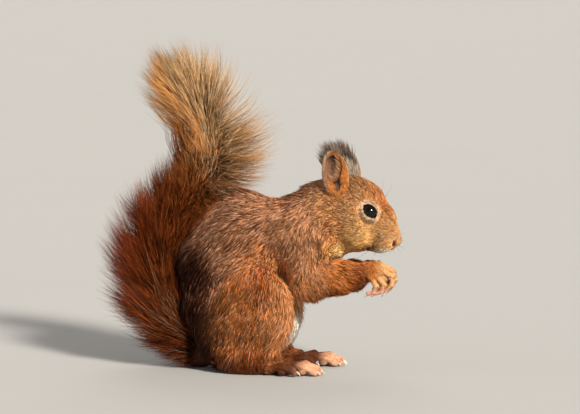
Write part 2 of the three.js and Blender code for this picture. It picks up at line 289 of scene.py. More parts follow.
def head():
    parts = [
        ("crown", blob((68, 0, 96), (20.4, 15.3, 20.4)), 6.0),
        ("cheek", blob((73, 0, 84.5), (11, 14.0, 11)), 5.0),
        ("crown", limb((78, 0, 98.2), (86, 0, 90.5), 11.4, 9.6, 0.82), 5.0),
        ("neck", limb((50, 0, 80), (61, 0, 76.6), 8.0, 6.6, 1.3), 6.0),
        ("face", limb((85.2, 0, 89.2), (91.2, 0, 83.0), 8.6, 6.8, 0.82), 4.0),
        ("cheek", limb((72, 0, 82.5), (82, 0, 78.5), 8.6, 5.6, 0.95), 4.0),
        ("face", blob((90.6, 0, 80.2), (7.6, 5.6, 6.6)), 3.0),
        ("nose", blob((96.3, 0, 79.9), (3.3, 3.2, 4.0), -24), 1.6),
    ]
    for side in SIDES:
        parts += [
            ("face", blob((89.8, 3.9 * side, 77.6), (5.6, 3.2, 4.2), 12), 1.6),
            ("crown", blob((79.5, 8.6 * side, 101.2), (6.0, 3.2, 3.0), 30), 3.0),
        ]
    return parts + [("face", blob((86, 0, 75.2), (5.6, 4.4, 2.8)), 1.2)]


EAR = {"x": 63.0, "y": 14.0, "z": 117.5}


def ear_middle(side):
    return np.array([EAR["x"], EAR["y"] * side, EAR["z"]])


def ear_hollow(side):
    return blob(ear_middle(side) + (-0.4, 4.6 * side, 4.0), (4.9, 6.9, 8.6), -8)


def ear_notch(side):
    """The slit that runs down from the ear's cup."""
    places = ((0.2, -1.5), (3.2, -6.6), (1.4, -12.4))
    points = [ear_middle(side) + (x, 3.9 * side, z) for x, z in places]
    return joined(bones(points, (2.0, 1.5, 0.9)), 1.0)


def ear(side):
    outer = blob(ear_middle(side), (7.4, 4.1, 13.4), -8)
    return [("ear", carved(carved(outer, ear_notch(side), 0.5), ear_hollow(side), 0.6), 2.2)]


def haunch(side):
    x, y = back(side, "haunch"), LEG_Y * side
    c, s = REGIONS["thigh"].coat, REGIONS["shin"].coat
    return [
        ("thigh", blob((1 + x, y - 4.5 * side, 26), (23 - c, 15 - c, 25 - c)), 10.0),
        ("thigh", blob((16.5 + x, y, 37.5), (23.5 - c, 15.5 - c, 28.5 - c)), 10.0),
        ("thigh", limb((21 + x, y, 29.5), (13 + x, y, 12), 15.5 - c, 12.5 - c, 0.85), 7.0),
        ("thigh", blob((13 + x, y, 11), (20.5 - c, 13 - c, 12 - s)), 7.0),
        ("shin", limb((16 + x, y, 12), (HEEL_X + 14, y, 8), 9 - s, 7.0 - s, 0.9), 4.0),
    ]


TOES = [(-9.4, 39.0), (-4.8, 51.0), (0.0, 53.0), (4.8, 52.0), (9.4, 41.0)]
TOE_SIZES = (2.3, 2.2, 2.0, 1.5)


def toe_joints(side, out, tip):
    y = TOE_Y * side
    places = [(22.5, 0.75, 4.3), (tip - 11, 1.0, 6.0), (tip - 4.5, 1.05, 3.7), (tip - 2.6, 1.08, 2.2)]
    return [np.array([HEEL_X + x, y + out * share * side, z]) for x, share, z in places]


def foot(side):
    y = TOE_Y * side
    parts = [
        ("foot", limb((HEEL_X, y, 5), (HEEL_X + 23, y, 4.8), 4.8, 4.4, 1.25), 3.0),
        ("foot", limb((HEEL_X + 21, y - 5.5, 4.4), (HEEL_X + 21, y + 5.5, 4.4), 3.9, 3.9), 3.0),
    ]
    for out, tip in TOES:
        joints = toe_joints(side, out, tip)
        tip_pad = blob(joints[2] + (0.4, 0, -1.5), (2.0, 1.7, 1.2))
        ball_pad = blob(joints[1] + (0, 0, -3.6), (2.6, 2.2, 1.6))
        parts.append(("foot", joined(bones(joints, TOE_SIZES) + [tip_pad, ball_pad], 0.9), 0.9))
    return parts


FINGERS = [
    [(3.5, 3.0, 2.4), (7.5, 3.7, 4.2), (15.6, 3.4, 0.6), (17.0, 3.1, -4.6), (13.8, 2.8, -9.8)],
    [(4.0, 0.9, 1.0), (8.5, 0.9, 1.4), (16.2, 0.5, -2.5), (15.6, 0.2, -7.6), (12.2, -0.1, -11.2)],
    [(3.5, -2.0, -0.6), (7.4, -2.6, -2.2), (12.0, -3.0, -7.3), (10.2, -3.0, -11.2), (7.2, -2.9, -12.5)],
    [(2.5, -4.0, -1.2), (4.9, -5.0, -3.6), (7.9, -5.6, -8.2), (6.2, -5.5, -11.4), (3.4, -5.2, -12.6)],
]
FINGER_SIZES = (1.75, 1.65, 1.5, 1.35, 0.95)


def wrist(side):
    return sided(WRIST, side) + (back(side, "hand"), 0, 0)


def finger_joints(side, finger):
    return [wrist(side) + (x, -y * side, z) for x, y, z in finger]


def hand(side):
    start = wrist(side)
    parts = [
        ("hand", limb(start, start + (7, 0, 0.4), 4.7, 3.9, 0.95), 2.5),
        ("hand", blob(start + (4.5, -4.0 * side, 3.6), (3, 2, 2.3)), 1.4),
        ("hand", blob(start + (8.2, -2.0 * side, -2.6), (5.2, 1.9, 4.4), 25), 1.0),
    ]
    for finger in FINGERS:
        joints = finger_joints(side, finger)
        pad = blob(joints[-1] + (-0.8, 0, 0.6), (1.2, 1.0, 1.3))
        parts.append(("hand", joined(bones(joints, FINGER_SIZES) + [pad], 0.4), 0.35))
    return parts


def arm(side):
    shoulder, elbow = np.array([41, 15.0 * side, 78]), sided(ELBOW, side)
    thin = LEFT_ARM_THINNER if side > 0 else 0.0
    middle = np.array([65, 14.0 * side, 57.5 - 1.5 * thin])
    u, f = REGIONS["upper_arm"].coat, REGIONS["forearm"].coat + thin
    return [
        ("upper_arm", limb(shoulder, elbow, 15 - u, 10.8 - u, 0.8), 8.0),
        ("forearm", limb(elbow, middle, 10.6 - f, 10.2 - f, 0.85), 5.0),
        ("forearm", limb(middle, wrist(side), 10 - f, 5.6 - f * 0.5, 0.85), 5.0),
    ]


def tail_core():
    joints = [(x, 0, z) for x, z, _ in TAIL_CORE]
    return [("tail", joined(bones(joints, [radius for _, _, radius in TAIL_CORE]), 3.0), 4.0)]


# ---- Eyes: a ball in a lidded, almond opening whose long axis slopes down to the front ----
BALL = {"radius": 5.6, "inward": 3.4}
LID_THICKNESS = 0.7


def eye_frame(side):
    """The ball's centre, and the ways out of the head, along the opening and across it."""
    out = np.array([0.30, 0.93 * side, 0.20])
    out /= norm(out)
    centre = sided(EYE + EYE_SHIFT, side) - out * BALL["inward"]
    slope = np.array([0.74, 0.0, -0.67])
    along = slope - out * (slope @ out)
    along /= norm(along)
    across = np.cross(out, along) * side
    return centre, out, along, across


OPENING = {"radius": 5.0, "offset": 1.7}
DARK_RIM = {"radius": 5.85, "offset": 2.25}  # the bare dark skin round the opening, longest at its corners


def opening_near(p, side, opening=OPENING):
    """The signed distance across the lids to the edge of the opening, whose two arcs meet in corners."""
    centre, _, along, across = eye_frame(side)
    q = p - centre
    u, v = q @ along, q @ across
    upper = np.hypot(u, v + opening["offset"]) - opening["radius"]
    lower = np.hypot(u, v - opening["offset"]) - opening["radius"]
    return -smooth_min(-upper, -lower, 0.3)


def lids(side):
    centre, out, _, _ = eye_frame(side)
    lid = blob(centre, np.full(3, BALL["radius"] + LID_THICKNESS))

    def hole(p):
        return np.maximum(opening_near(p, side), 1.2 - (p - centre) @ out)

    return lid, Form(hole, centre - 9, centre + 9)


NOSTRIL = (95.9, 3.5, 77.4)


def small_carvings():
    """Nostrils and the line of the mouth: (form, softness)."""
    cuts = []
    for side in SIDES:
        cuts += [
            (limb((97.4, 3.3 * side, 79.6), (94.8, 3.8 * side, 75.2), 0.45, 0.9), 0.35),
            (limb((95.8, 0.9 * side, 73.6), (88.7, 5.2 * side, 73.6), 0.45, 0.5), 0.6),
            (limb((88.7, 5.2 * side, 73.6), (81.8, 7.4 * side, 75.4), 0.5, 0.7), 0.6),
        ]
    cuts.append((limb((99.3, 0, 77.6), (96.4, 0, 74.0), 0.35, 0.35), 0.5))
    return cuts


FLESH = torso() + head()
for side_ in SIDES:
    FLESH += haunch(side_) + arm(side_) + foot(side_) + hand(side_)
FLESH += tail_core()
LIDS = [lids(side) for side in SIDES]
CARVINGS = small_carvings()
EARS = [part for side in SIDES for part in ear(side)]
MARGIN = 9.0  # how far round a form's box it can still pull on its neighbours
FAR = 30.0
FLOOR_ROOM = 0.2  # the flesh ends this far above the floor


class Field:
    """The flesh's distance on any set of points, where each form is worked out only near itself."""

    def __init__(self, points, pick):
        self.points, self.pick = points, pick
        self.value = np.full(points.shape[:-1], FAR)

    def blend(self, form, k):
        at = self.pick(form.low - MARGIN, form.high + MARGIN)
        self.value[at] = smooth_min(self.value[at], form.near(self.points[at]), k)

    def carve(self, form, k):
        at = self.pick(form.low - 2, form.high + 2)
        self.value[at] = -smooth_min(-self.value[at], form.near(self.points[at]), k)


def flesh(points, pick):
    field = Field(points, pick)
    for _, form, k in FLESH:
        field.blend(form, k)
    for lid, hole in LIDS:
        field.blend(lid, 1.6)
        field.carve(hole, 0.35)
    for _, form, k in EARS:
        field.blend(form, k)
    for form, k in CARVINGS:
        field.carve(form, k)
    over_floor = FLOOR_ROOM - points[..., 2]
    return -smooth_min(-field.value, -over_floor, 0.3)


def in_box(points, low, high):
    return np.nonzero(np.all((points > low) & (points < high), axis=1))[0]


def flesh_at(points):
    return flesh(points, lambda low, high: in_box(points, low, high))


def slope_at(points, step=0.05):
    slope = np.empty_like(points)
    for i in range(3):
        move = np.zeros(3)
        move[i] = step
        slope[:, i] = flesh_at(points + move) - flesh_at(points - move)
    return slope / (2 * step)


# ---- The skin's mesh ----
# The grid's spans and steps along x, y and z, finest on the face.
GRID = [
    [(-58, -34, 2.4), (-34, 18, 2.0), (18, 58, 1.2), (58, 76, 0.85), (76, 105, 0.46)],
    [(-39, -36, 0.95), (-36, -14, 0.95), (-14, 14, 0.64), (14, 36, 0.95), (36, 39, 0.95)],
    [(-1.5, 10, 0.75), (10, 46, 1.9), (46, 66, 0.6), (66, 104, 0.52), (104, 134, 0.78), (134, 172, 2.4)],
]


def grid_line(spans):
    parts = [np.linspace(a, b, round((b - a) / step), endpoint=False) for a, b, step in spans]
    return np.concatenate(parts)


def surface_net(lines, value):
    """A vertex in each cell that the surface crosses, and a quad round each edge that it crosses."""
    inside = value < 0
    cells = np.array(value.shape) - 1
    crossings, quads = [], []
    for axis in range(3):
        ahead = np.eye(3, dtype=int)[axis]
        start = np.argwhere(np.diff(inside, axis=axis))
        end = start + ahead
        near, far = value[tuple(start.T)], value[tuple(end.T)]
        low, high = (np.stack([line[at] for line, at in zip(lines, places.T)], 1) for places in (start, end))
        point = low + (near / (near - far))[:, None] * (high - low)
        next_axis, last_axis = np.roll(ahead, 1), np.roll(ahead, 2)
        around = []
        for u, v in ((0, 0), (1, 0), (1, 1), (0, 1)):
            cell = start - u * next_axis - v * last_axis
            around.append(np.ravel_multi_index(tuple(cell.T), cells))
        around = np.stack(around, 1)
        outward = inside[tuple(start.T)]
        quads.append(np.where(outward[:, None], around, around[:, ::-1]))
        crossings.append((around, point))
    used, faces = np.unique(np.concatenate(quads), return_inverse=True)
    place, count = np.zeros((len(used), 3)), np.zeros((len(used), 1))
    for around, point in crossings:
        for corner in around.T:
            at = np.searchsorted(used, corner)
            np.add.at(place, at, point)
            np.add.at(count, at, 1)
    return place / count, faces.reshape(-1, 4)


def settled(points, turns=3, most=0.25):
    """The points moved along the slope onto the surface."""
    for _ in range(turns):
        slope = slope_at(points)
        square = np.maximum((slope**2).sum(1), 0.3)
        step = np.clip(flesh_at(points) / square, -most, most)
        points = points - slope * step[:, None]
    return points


def skin_surface():
    lines = [grid_line(spans) for spans in GRID]
    points = np.stack(np.meshgrid(*lines, indexing="ij"), -1).astype(np.float32)

    def pick(low, high):
        return tuple(slice(*np.searchsorted(line, ends)) for line, *ends in zip(lines, low, high))

    vertices, faces = surface_net(lines, flesh(points, pick))
    return settled(vertices), faces


def new_mesh(name, vertices, faces):
    mesh = bpy.data.meshes.new(name)
    sides = faces.shape[1]
    mesh.vertices.add(len(vertices))
    mesh.vertices.foreach_set("co", to_frame(vertices).astype(np.float32).ravel())
    mesh.loops.add(faces.size)
    mesh.loops.foreach_set("vertex_index", faces.astype(np.int32).ravel())
    mesh.polygons.add(len(faces))
    mesh.polygons.foreach_set("loop_start", np.arange(0, faces.size, sides, dtype=np.int32))
    mesh.polygons.foreach_set("use_smooth", np.ones(len(faces), bool))
    mesh.update(calc_edges=True)
    return mesh


def new_piece(name, mesh, material, nodes=()):
    piece = bpy.data.objects.new(name, mesh)
    bpy.context.scene.collection.objects.link(piece)
    mesh.materials.append(material)
    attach(piece, "root")
    if nodes:
        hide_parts(*nodes)
    return piece


def paint_vertices(mesh, colours):
    layer = mesh.attributes.new("tint", "FLOAT_COLOR", "POINT")
    full = np.concatenate([colours, np.ones((len(colours), 1))], 1)
    layer.data.foreach_set("color", full.astype(np.float32).ravel())


# ---- Colours ----
def linear(code):
    channels = np.array([int(code[i : i + 2], 16) for i in (0, 2, 4)]) / 255
    return np.where(channels <= 0.04045, channels / 12.92, ((channels + 0.055) / 1.055) ** 2.4)


def dye(codes):
    """The colours of a hair's root and of its tip."""
    return np.concatenate([linear(code) for code in codes.split()])


DYES = {
    "back": "562810 e2a276",
    "belly": "f0e4cc fffaf0",
    "neck": "96592a f0ac62",
    "crown": "84532a e2ac72",
    "cheek": "d69444 ffd48c",
    "face": "b87e44 f0bf80",
    "nose": "94694a cea47c",
    "thigh": "662a0c e08c46",
    "shin": "4f2612 a0603a",
    "foot": "301408 643316",
    "upper_arm": "7c4220 f6b67e",
    "forearm": "6c2c08 cf7c30",
    # The feet's dark red-brown is darkened further as painted shade where they lie under the haunches.
    "hand": "8a4a1c cf8a45",
    "ear": "5e3a22 bf8552",
    "tail": "3a1c0c 5a2a12",
}


def mix(a, b, share):
    return a * (1 - share) + b * share


def ramp(x, start, end):
    """A smooth step from 0 at start to 1 at end, which may be the lower of the two."""
    t = np.clip((x - start) / (end - start), 0, 1)
    return t * t * (3 - 2 * t)


def spot(p, centre, radii):
    """1 at the centre, fading to 0 at the radii. It covers both sides of the animal."""
    q = (np.abs(p * [0, 1, 0]) + p * [1, 0, 1] - np.array(centre)) / np.array(radii)
    return np.clip(1 - (q**2).sum(1), 0, 1)


def lips(p):
    """1 on the pale upper lips and chin, fading to 0 round them."""
    return spot(p, (90.5, 4.5, 73.6), (6.5, 5.5, 3.2))


def past_wrist(p):
    return norm((p - WRIST) * [1, 0, 1], axis=1)


def dorsal(p, n):
    """How far the surface faces away from the point that the body curls round, from -1 to 1."""
    q = (p - BEND) * [1, 0, 1]
    q /= norm(q, axis=1, keepdims=True) + 1e-9
    return (q * n).sum(1)


def eye_distance(p, opening=OPENING):
    """Distance from the edge of the nearer eye's opening, measured over the lids."""
    best = np.full(len(p), FAR)
    for side in SIDES:
        centre, out, _, _ = eye_frame(side)
        near = norm(p - centre, axis=1) < 16
        facing = (p - centre) @ out > -2
        best = np.where(near & facing, np.minimum(best, opening_near(p, side, opening)), best)
    return best


def inner_ear(p, n):
    """1 in the ear's cup, 0 on its rim and back."""
    deep = np.zeros(len(p))
    for side in SIDES:
        hollow = ear_hollow(side)
        deep = np.maximum(deep, ramp(np.abs(hollow.near(p)), 0.9, 0.4) * ramp(p[:, 2], 103, 106))
    return deep * ramp(n[:, 1] * np.sign(p[:, 1]), -0.1, 0.3)


def notch_distance(p):
    return np.minimum(*(ear_notch(side).near(p) for side in SIDES))


def trunk_markings_and_shade(p, n, share):
    """Layers of (where, dye), some of them painted shade. share holds each region's share of each point."""
    x, z = p[:, 0], p[:, 2]
    up = dorsal(p, n)
    trunk = share["back"] + share["neck"] + share["belly"]
    thigh = share["thigh"]
    leg = thigh + share["shin"]
    breast = trunk * ramp(x, 22, 33) * ramp(z, 84, 72)
    inner = 1 - np.maximum(ramp(np.abs(p[:, 1]), 0, 7), ramp(x, 31, 35)) * ramp(z, 33, 43)
    return [
        # The rump beside the tail: darker brown, darkened further as painted shade on the side away from the
        # light.
        (trunk * ramp(x, 9, -15) * ramp(z, 98, 62), "2a1107 643014"),
        (trunk * ramp(up, 0.25, -0.1) * ramp(x, 0, 25), "8a4a1c d08a48"),
        (breast * ramp(up, -0.1, -0.5) * inner, "e6d8c0 fffaf0"),
        (breast * ramp(up, 0.0, -0.4) * (1 - inner), "c08038 f6c078"),
        (thigh * spot(p, (29, 28, 62), (22, 30, 18)), "5e2408 b25a1e"),
        (thigh * ramp(x, 22, 34), "a65a24 f6ae70"),
        (thigh * ramp(x, 37, 40) * ramp(z, 54, 46), "d8bc90 fff2dc"),
        # Painted shade: the legs darker toward the floor.
        (leg * ramp(z, 30, 6), "3e1a08 94461a"),
        # Painted shade: the back of the haunch, beside the tail, darker.
        (leg * ramp(x, 11, -11), "1c0a04 4c220e"),
        # Painted shade: the rump and haunch beside the tail, darkest of all.
        ((leg + trunk) * ramp(x, -2, -17) * ramp(z, 96, 66), "140603 3c1a0b"),
    ]


def paw_markings_and_shade(p, n, share):
    x, z = p[:, 0], p[:, 2]
    return [
        # Painted shade: the forearms darker where they face down.
        (share["forearm"] * ramp(n[:, 2], 0.0, -0.8), "4c1c06 9e4c16"),
        (share["forearm"] * ramp(x, 66, 78), "461a06 9c4812"),
        (share["hand"] * ramp(past_wrist(p), 6, 10), "a0622c f2c48e"),
        (share["hand"] * ramp(z, 54, 48), "a86450 f0b8a0"),
        (share["foot"] * ramp(x, 41, 52), "c08260 f8c6a2"),
    ]


def head_markings_light_and_shade(p, n, share):
    """The forehead, the jaw with painted light under it, lips, bridge, nostril and mouth with painted shade
    in them, the throat with painted sunlight, the nape with painted light below the ear, and the eye's two
    rims.
    """
    x, z = p[:, 0], p[:, 2]
    trunk = share["back"] + share["neck"] + share["belly"]
    head_part = share["crown"] + share["cheek"] + share["face"]
    throat = 1.4 * (trunk + share["cheek"])
    return [
        (head_part * ramp(n[:, 2], 0.0, 0.6) * ramp(x, 76, 90) * ramp(x, 98, 94), "8a4616 d0803a"),
        # The jaw's underside: pale gold, brightened further as painted light where it faces down into shade.
        (head_part * ramp(z, 80, 73) * ramp(x, 60, 72), "c88a3e ffcc7c"),
        (lips(p), "c4b49c fbf6ea"),
        (0.6 * spot(p, (90.5, 6.5, 81), (2.6, 3.5, 4.2)), "5e5048 a89684"),
        # Painted shade: the nostrils' dark red stands for the shade inside them.
        (2.4 * spot(p, NOSTRIL, (1.8, 1.7, 3.0)), "340a08 641c16"),
        # Painted shade: the dark corner of the mouth, where the fur hides the carved line.
        (1.6 * spot(p, (83.2, 6.8, 74.6), (4.6, 4.8, 2.8)), "2a1a12 54402f"),
        # Painted light: the throat brightened to gold as if the sun lit it, though it lies in shade.
        (throat * spot(p, (61, 6, 74), (13, 17, 12)), "b87430 ecb466"),
        (throat * spot(p, (67, 8, 73), (8, 12, 7)), "eaae5c ffe2a4"),
        # Partly the paler fur below the ear, partly painted light where the ear shades the nape.
        (1.2 * (trunk + head_part) * spot(p, (57, 15, 100), (9, 10, 11)), "b87a40 ffc27c"),
        (head_part * ramp(eye_distance(p), 3.0, 1.6), "b8946e e6cba8"),
        (head_part * ramp(eye_distance(p, DARK_RIM), 0.25, 0.0), "140a06 20120b"),
    ]


def ear_markings_and_shade(p, n, share):
    """The ear's outer face, its greyer back, the face toward the head, its foot, the cup with painted shade
    at its top, and the notch darkened with painted shade.
    """
    x, z = p[:, 0], p[:, 2]
    outer = ramp(n[:, 1] * np.sign(p[:, 1]), -0.3, 0.2)
    cup = share["ear"] * inner_ear(p, n)
    rim = (share["ear"] - cup) * outer
    return [
        (rim, "8c4a18 dc8c40"),
        (rim * ramp(x, 60.5, 57.5), "8a6a50 d0aa88"),
        (share["ear"] * (1 - outer) * ramp(z, 104, 112), "62564c d2c4b4"),
        (share["ear"] * outer * ramp(x, 62, 59) * ramp(z, 118, 110), "9a7058 dcae90"),
        (cup, "5e3e2c 936c52"),
        (cup * ramp(x, 60, 64.5), "3c261c 765342"),
        # Painted shade: the top of the cup, near black.
        (cup * ramp(z + 0.8 * (x - 62), 120, 128), "1a100c 3e2a20"),
        # Painted shade: the notch's slit darkened.
        (share["ear"] * ramp(notch_distance(p), 0.9, 0.2), "1c0c08 482a20"),
    ]


MARKINGS_LIGHT_AND_SHADE = (trunk_markings_and_shade, paw_markings_and_shade, head_markings_light_and_shade, ear_markings_and_shade)


def colours_of(p, n, shares):
    """The regions' own colours with the markings, and the painted light and shade, over them."""
    share = {name: shares[:, i] for i, name in enumerate(REGION_NAMES)}
    colour = shares @ np.array([dye(DYES[name]) for name in REGION_NAMES])
    for markings in MARKINGS_LIGHT_AND_SHADE:
        for where, codes in markings(p, n, share):
            colour = mix(colour, dye(codes), np.clip(where, 0, 1)[:, None])
    return colour


# ---- What each point of the skin knows about its coat ----
SPREAD = 1.8  # how far, in millimetres, one region's coat shades into the next


def region_shares(p):
    shares = np.zeros((len(p), len(REGION_NAMES)))
    for region, form, _ in FLESH + EARS:
        at = in_box(p, form.low - MARGIN, form.high + MARGIN)
        near = np.clip(form.near(p[at]), 0, None)
        i = REGION_NAMES.index(region)
        shares[at, i] = np.maximum(shares[at, i], np.exp(-near / SPREAD))
    return shares / np.maximum(shares.sum(1, keepdims=True), 1e-9)


def unit(v):
    return v / np.maximum(norm(v, axis=-1, keepdims=True), 1e-9)


def flattened(v, n):
    """The unit vector along the surface that is nearest to v."""
    return unit(v - n * (v * n).sum(1, keepdims=True))


def lie_of_coat(p, n, shares):
    flow = np.zeros_like(p)
    for i, name in enumerate(REGION_NAMES):
        flow += shares[:, i : i + 1] * unit(REGIONS[name].flow(p))
    for side in SIDES:
        centre, out, _, _ = eye_frame(side)
        q = p - centre
        away = q - out * (q @ out)[:, None]
        near = np.exp(-((norm(q, axis=1) / 8.5) ** 4))[:, None]
        flow = mix(flow, unit(away), 0.75 * near)
    return flattened(flow, n)


def read(values, name, width, kind=np.float32):
    """One property of all of a mesh's elements, a row for each."""
    flat = np.zeros(len(values) * width, kind)
    values.foreach_get(name, flat)
    return flat.reshape(-1, width)


class Skin:
    def __init__(self, piece, vertices):
        mesh = piece.data
        mesh.calc_loop_triangles()
        self.triangles = read(mesh.loop_triangles, "vertices", 3, np.int32)
        loops = read(mesh.loop_triangles, "loops", 3, np.int32)
        self.uv = read(mesh.uv_layers["OFBake"].data, "uv", 2)[loops]
        self.vertices = vertices
        self.normals = read(mesh.vertices, "normal", 3).astype(float)
        self.shares = region_shares(vertices)
        self.colours = colours_of(vertices, self.normals, self.shares)
        self.flows = lie_of_coat(vertices, self.normals, self.shares)
        a, b, c = vertices[self.triangles].transpose(1, 0, 2)
        self.areas = norm(np.cross(b - a, c - a), axis=1) / 2

    def sample(self, density):
        """Roots spread evenly over the skin. density holds the roots wanted in each mm² at each vertex."""
        wanted = self.areas * density[self.triangles].mean(1)
        counts = np.floor(wanted + rng.random(len(wanted))).astype(int)
        face = np.repeat(np.arange(len(wanted)), counts)
        a, b = rng.random((2, len(face)))
        over = a + b > 1
        a[over], b[over] = 1 - a[over], 1 - b[over]
        return Roots(self, face, np.stack([1 - a - b, a, b], 1))


class Roots:
    def __init__(self, skin, face, weights):
        corner = skin.triangles[face]

        def mixed(values):
            return (values[corner] * weights[..., None]).sum(1)

        self.places = mixed(skin.vertices)
        self.normals = unit(mixed(skin.normals))
        self.shares = mixed(skin.shares)
        self.colours = mixed(skin.colours)
        self.flows = flattened(mixed(skin.flows), self.normals)
        self.uv = (skin.uv[face] * weights[..., None]).sum(1)

    def kept(self, keep):
        new = object.__new__(Roots)
        for name, value in vars(self).items():
            setattr(new, name, value[keep])
        return new

    def __len__(self):
        return len(self.places)


# ---- Tufts: closed spindles with a three-sided section ----
PATCH = 0.003  # each tuft's size on the skin's unwrap
CORNERS = np.radians([90, 210, 330])
FLATNESS = 0.55


def tube_faces(rings, sides, step=1):
    """Triangles over a pole, rings and another pole. step is -1 where the rings turn the other way."""
    last = 1 + (rings - 1) * sides
    faces = []
    for j in range(sides):
        k = (j + step) % sides
        faces += [(0, 1 + j, 1 + k), (last + j, last + sides, last + k)]
        for start in range(1, last, sides):
            a, b = start + j, start + k
            faces += [(a, a + sides, b), (b, a + sides, b + sides)]
    return np.array(faces)


def spindles(line, side, rise, widths):
    """Closed spindles. line holds each one's points from root to tip, and widths its widths between these."""
    number, steps = line.shape[:2]
    vertices = [line[:, 0]]
    for i in range(steps - 2):
        half = widths[:, i, None] / 2
        for angle in CORNERS:
            offset = side * math.cos(angle) * half + rise * math.sin(angle) * half * FLATNESS
            vertices.append(line[:, i + 1] + offset)
    vertices = np.stack(vertices + [line[:, -1]], 1)
    faces = tube_faces(steps - 2, len(CORNERS), -1)
    starts = np.arange(number) * vertices.shape[1]
    return vertices, faces + starts[:, None, None]


def along_tuft(rings):
    """How far along its tuft each vertex lies, and which way across it."""
    t = [0.0] + [(i + 1) / (rings + 1) for i in range(rings) for _ in range(3)] + [1.0]
    across = [0.0] + [math.cos(a) for _ in range(rings) for a in CORNERS] + [0.0]
    return np.array(t), np.array(across)


# Tufts are a dict of arrays: line, side, rise, widths, colours and uv.
def picked(tufts, keep):
    return {name: value[keep] for name, value in tufts.items()}


def together(parts):
    return {name: np.concatenate([part[name] for part in parts]) for name in parts[0]}


def tuft_piece(name, material, tufts):
    """One coat piece, whose tufts run from their roots' colours to their tips'."""
    vertices, faces = spindles(tufts["line"], tufts["side"], tufts["rise"], tufts["widths"])
    mesh = new_mesh(name, vertices.reshape(-1, 3), faces.reshape(-1, 3))
    t, across = along_tuft(tufts["line"].shape[1] - 2)
    root, tip = tufts["colours"][:, None, :3], tufts["colours"][:, None, 3:]
    paint_vertices(mesh, mix(root, tip, ramp(t, 0.05, 0.85)[:, None]).reshape(-1, 3))
    uv = (tufts["uv"][:, None] + np.stack([t - 0.5, across * 0.5], 1) * PATCH).reshape(-1, 2)
    layer = mesh.uv_layers.new(name="OFBake")
    layer.data.foreach_set("uv", uv[faces.reshape(-1)].astype(np.float32).ravel())
    return new_piece(name, mesh, material)


# ---- The body's coat ----
def waves(p, length, count=6, seed=3):
    """Smooth noise of about that wavelength."""
    turns = np.random.default_rng(seed)
    value = np.zeros(len(p))
    for _ in range(count):
        way = unit(turns.normal(size=3)) * 2 * math.pi / (length * turns.uniform(0.75, 1.4))
        value += np.sin(p @ way + turns.uniform(0, 2 * math.pi))
    return value * math.sqrt(2 / count)


OVER_FLOOR = 0.25  # the lowest that a tuft's line may run
SWIRL = {"wavelength": 16.0, "broad": 0.16, "single": 0.08}  # how the coat's lie wanders, in mm and radians
VARIES = {"length": 0.17, "lift": 0.22, "curl": 0.07}  # from tuft to tuft
LOCK_TUFTS = 10  # how many tufts share a lock of the coat
LOCK_WIDTH = 0.3  # of a lock's length
INTO_LOCK = 0.75  # how far of the way to its lock's middle line a tuft's tip leans
LOCKS_TRIED = 8  # the nearest locks, from which a root takes the one in whose line it lies best


def search_tree(points):
    tree = KDTree(len(points))
    for i, point in enumerate(points):
        tree.insert(point, i)
    tree.balance()
    return tree


def lay_in_locks(roots):
    """Gives each root its lock's tone and the way across the coat to its lock's middle line."""
    seeds = rng.permutation(len(roots))[: len(roots) // LOCK_TUFTS]
    tree = search_tree(roots.places[seeds])
    near = np.array([[found[1] for found in tree.find_n(place, LOCKS_TRIED)] for place in roots.places])
    toward = roots.places[seeds[near]] - roots.places[:, None]
    along = (toward * roots.flows[:, None]).sum(2)
    distance = (toward**2).sum(2) - (1 - LOCK_WIDTH**2) * along**2
    each, best = np.arange(len(near)), distance.argmin(1)
    lock = near[each, best]
    across = np.cross(roots.normals, roots.flows)
    roots.aside = across * (toward[each, best] * across).sum(1, keepdims=True)
    roots.tone = rng.normal(0, 1, len(seeds))[lock]


GRIZZLE_AND_GLINT = {"pale": 0.28, "dark": 0.26}  # the shares of tufts with pale tips, which are partly painted glints of sunlit hair, and with dark tips
# The pale tips' colour, partly the hair's own pale bands and partly painted highlights of sunlit hair.
PALE_TIP_AND_GLINT = linear("ecb898")
LIGHT_COAT = 0.5  # the red of tips from which the pale ones are at their palest
TONE = 0.34  # how much a tuft's brightness varies, by itself and again with its lock
BRIGHTEST = 0.87


def held_down(root, tip):
    """The same hues, none brighter than pale hair is."""
    return np.concatenate([c / np.maximum(c.max(1, keepdims=True) / BRIGHTEST, 1) for c in (root, tip)], 1)


def grizzled_and_glinting(colours, amount, tone):
    """Each tuft a little lighter or darker with its clump, some with pale tips that are partly painted glints
    of sunlight, and some with dark ones.
    """
    number = len(colours)
    new = colours * np.exp(rng.normal(0, TONE, number) + TONE * tone)[:, None]
    pick = rng.random(number)
    light = np.clip(new[:, 3] / LIGHT_COAT, 0.03, 1)
    pale = ((pick < GRIZZLE_AND_GLINT["pale"]) * amount * light)[:, None] * 0.9
    dark = (pick > 1 - GRIZZLE_AND_GLINT["dark"])[:, None] * amount[:, None] * 0.8
    tip = mix(mix(new[:, 3:], PALE_TIP_AND_GLINT, pale), new[:, :3] * 0.8, dark)
    return held_down(new[:, :3], tip)


GRIZZLED_AND_GLINTING = dict.fromkeys(REGION_NAMES, 0.25)
GRIZZLED_AND_GLINTING |= {"back": 1.0, "neck": 0.8, "upper_arm": 0.9, "forearm": 0.5}
GRIZZLED_AND_GLINTING |= {"thigh": 0.7, "shin": 0.6, "crown": 0.7, "cheek": 0.3}


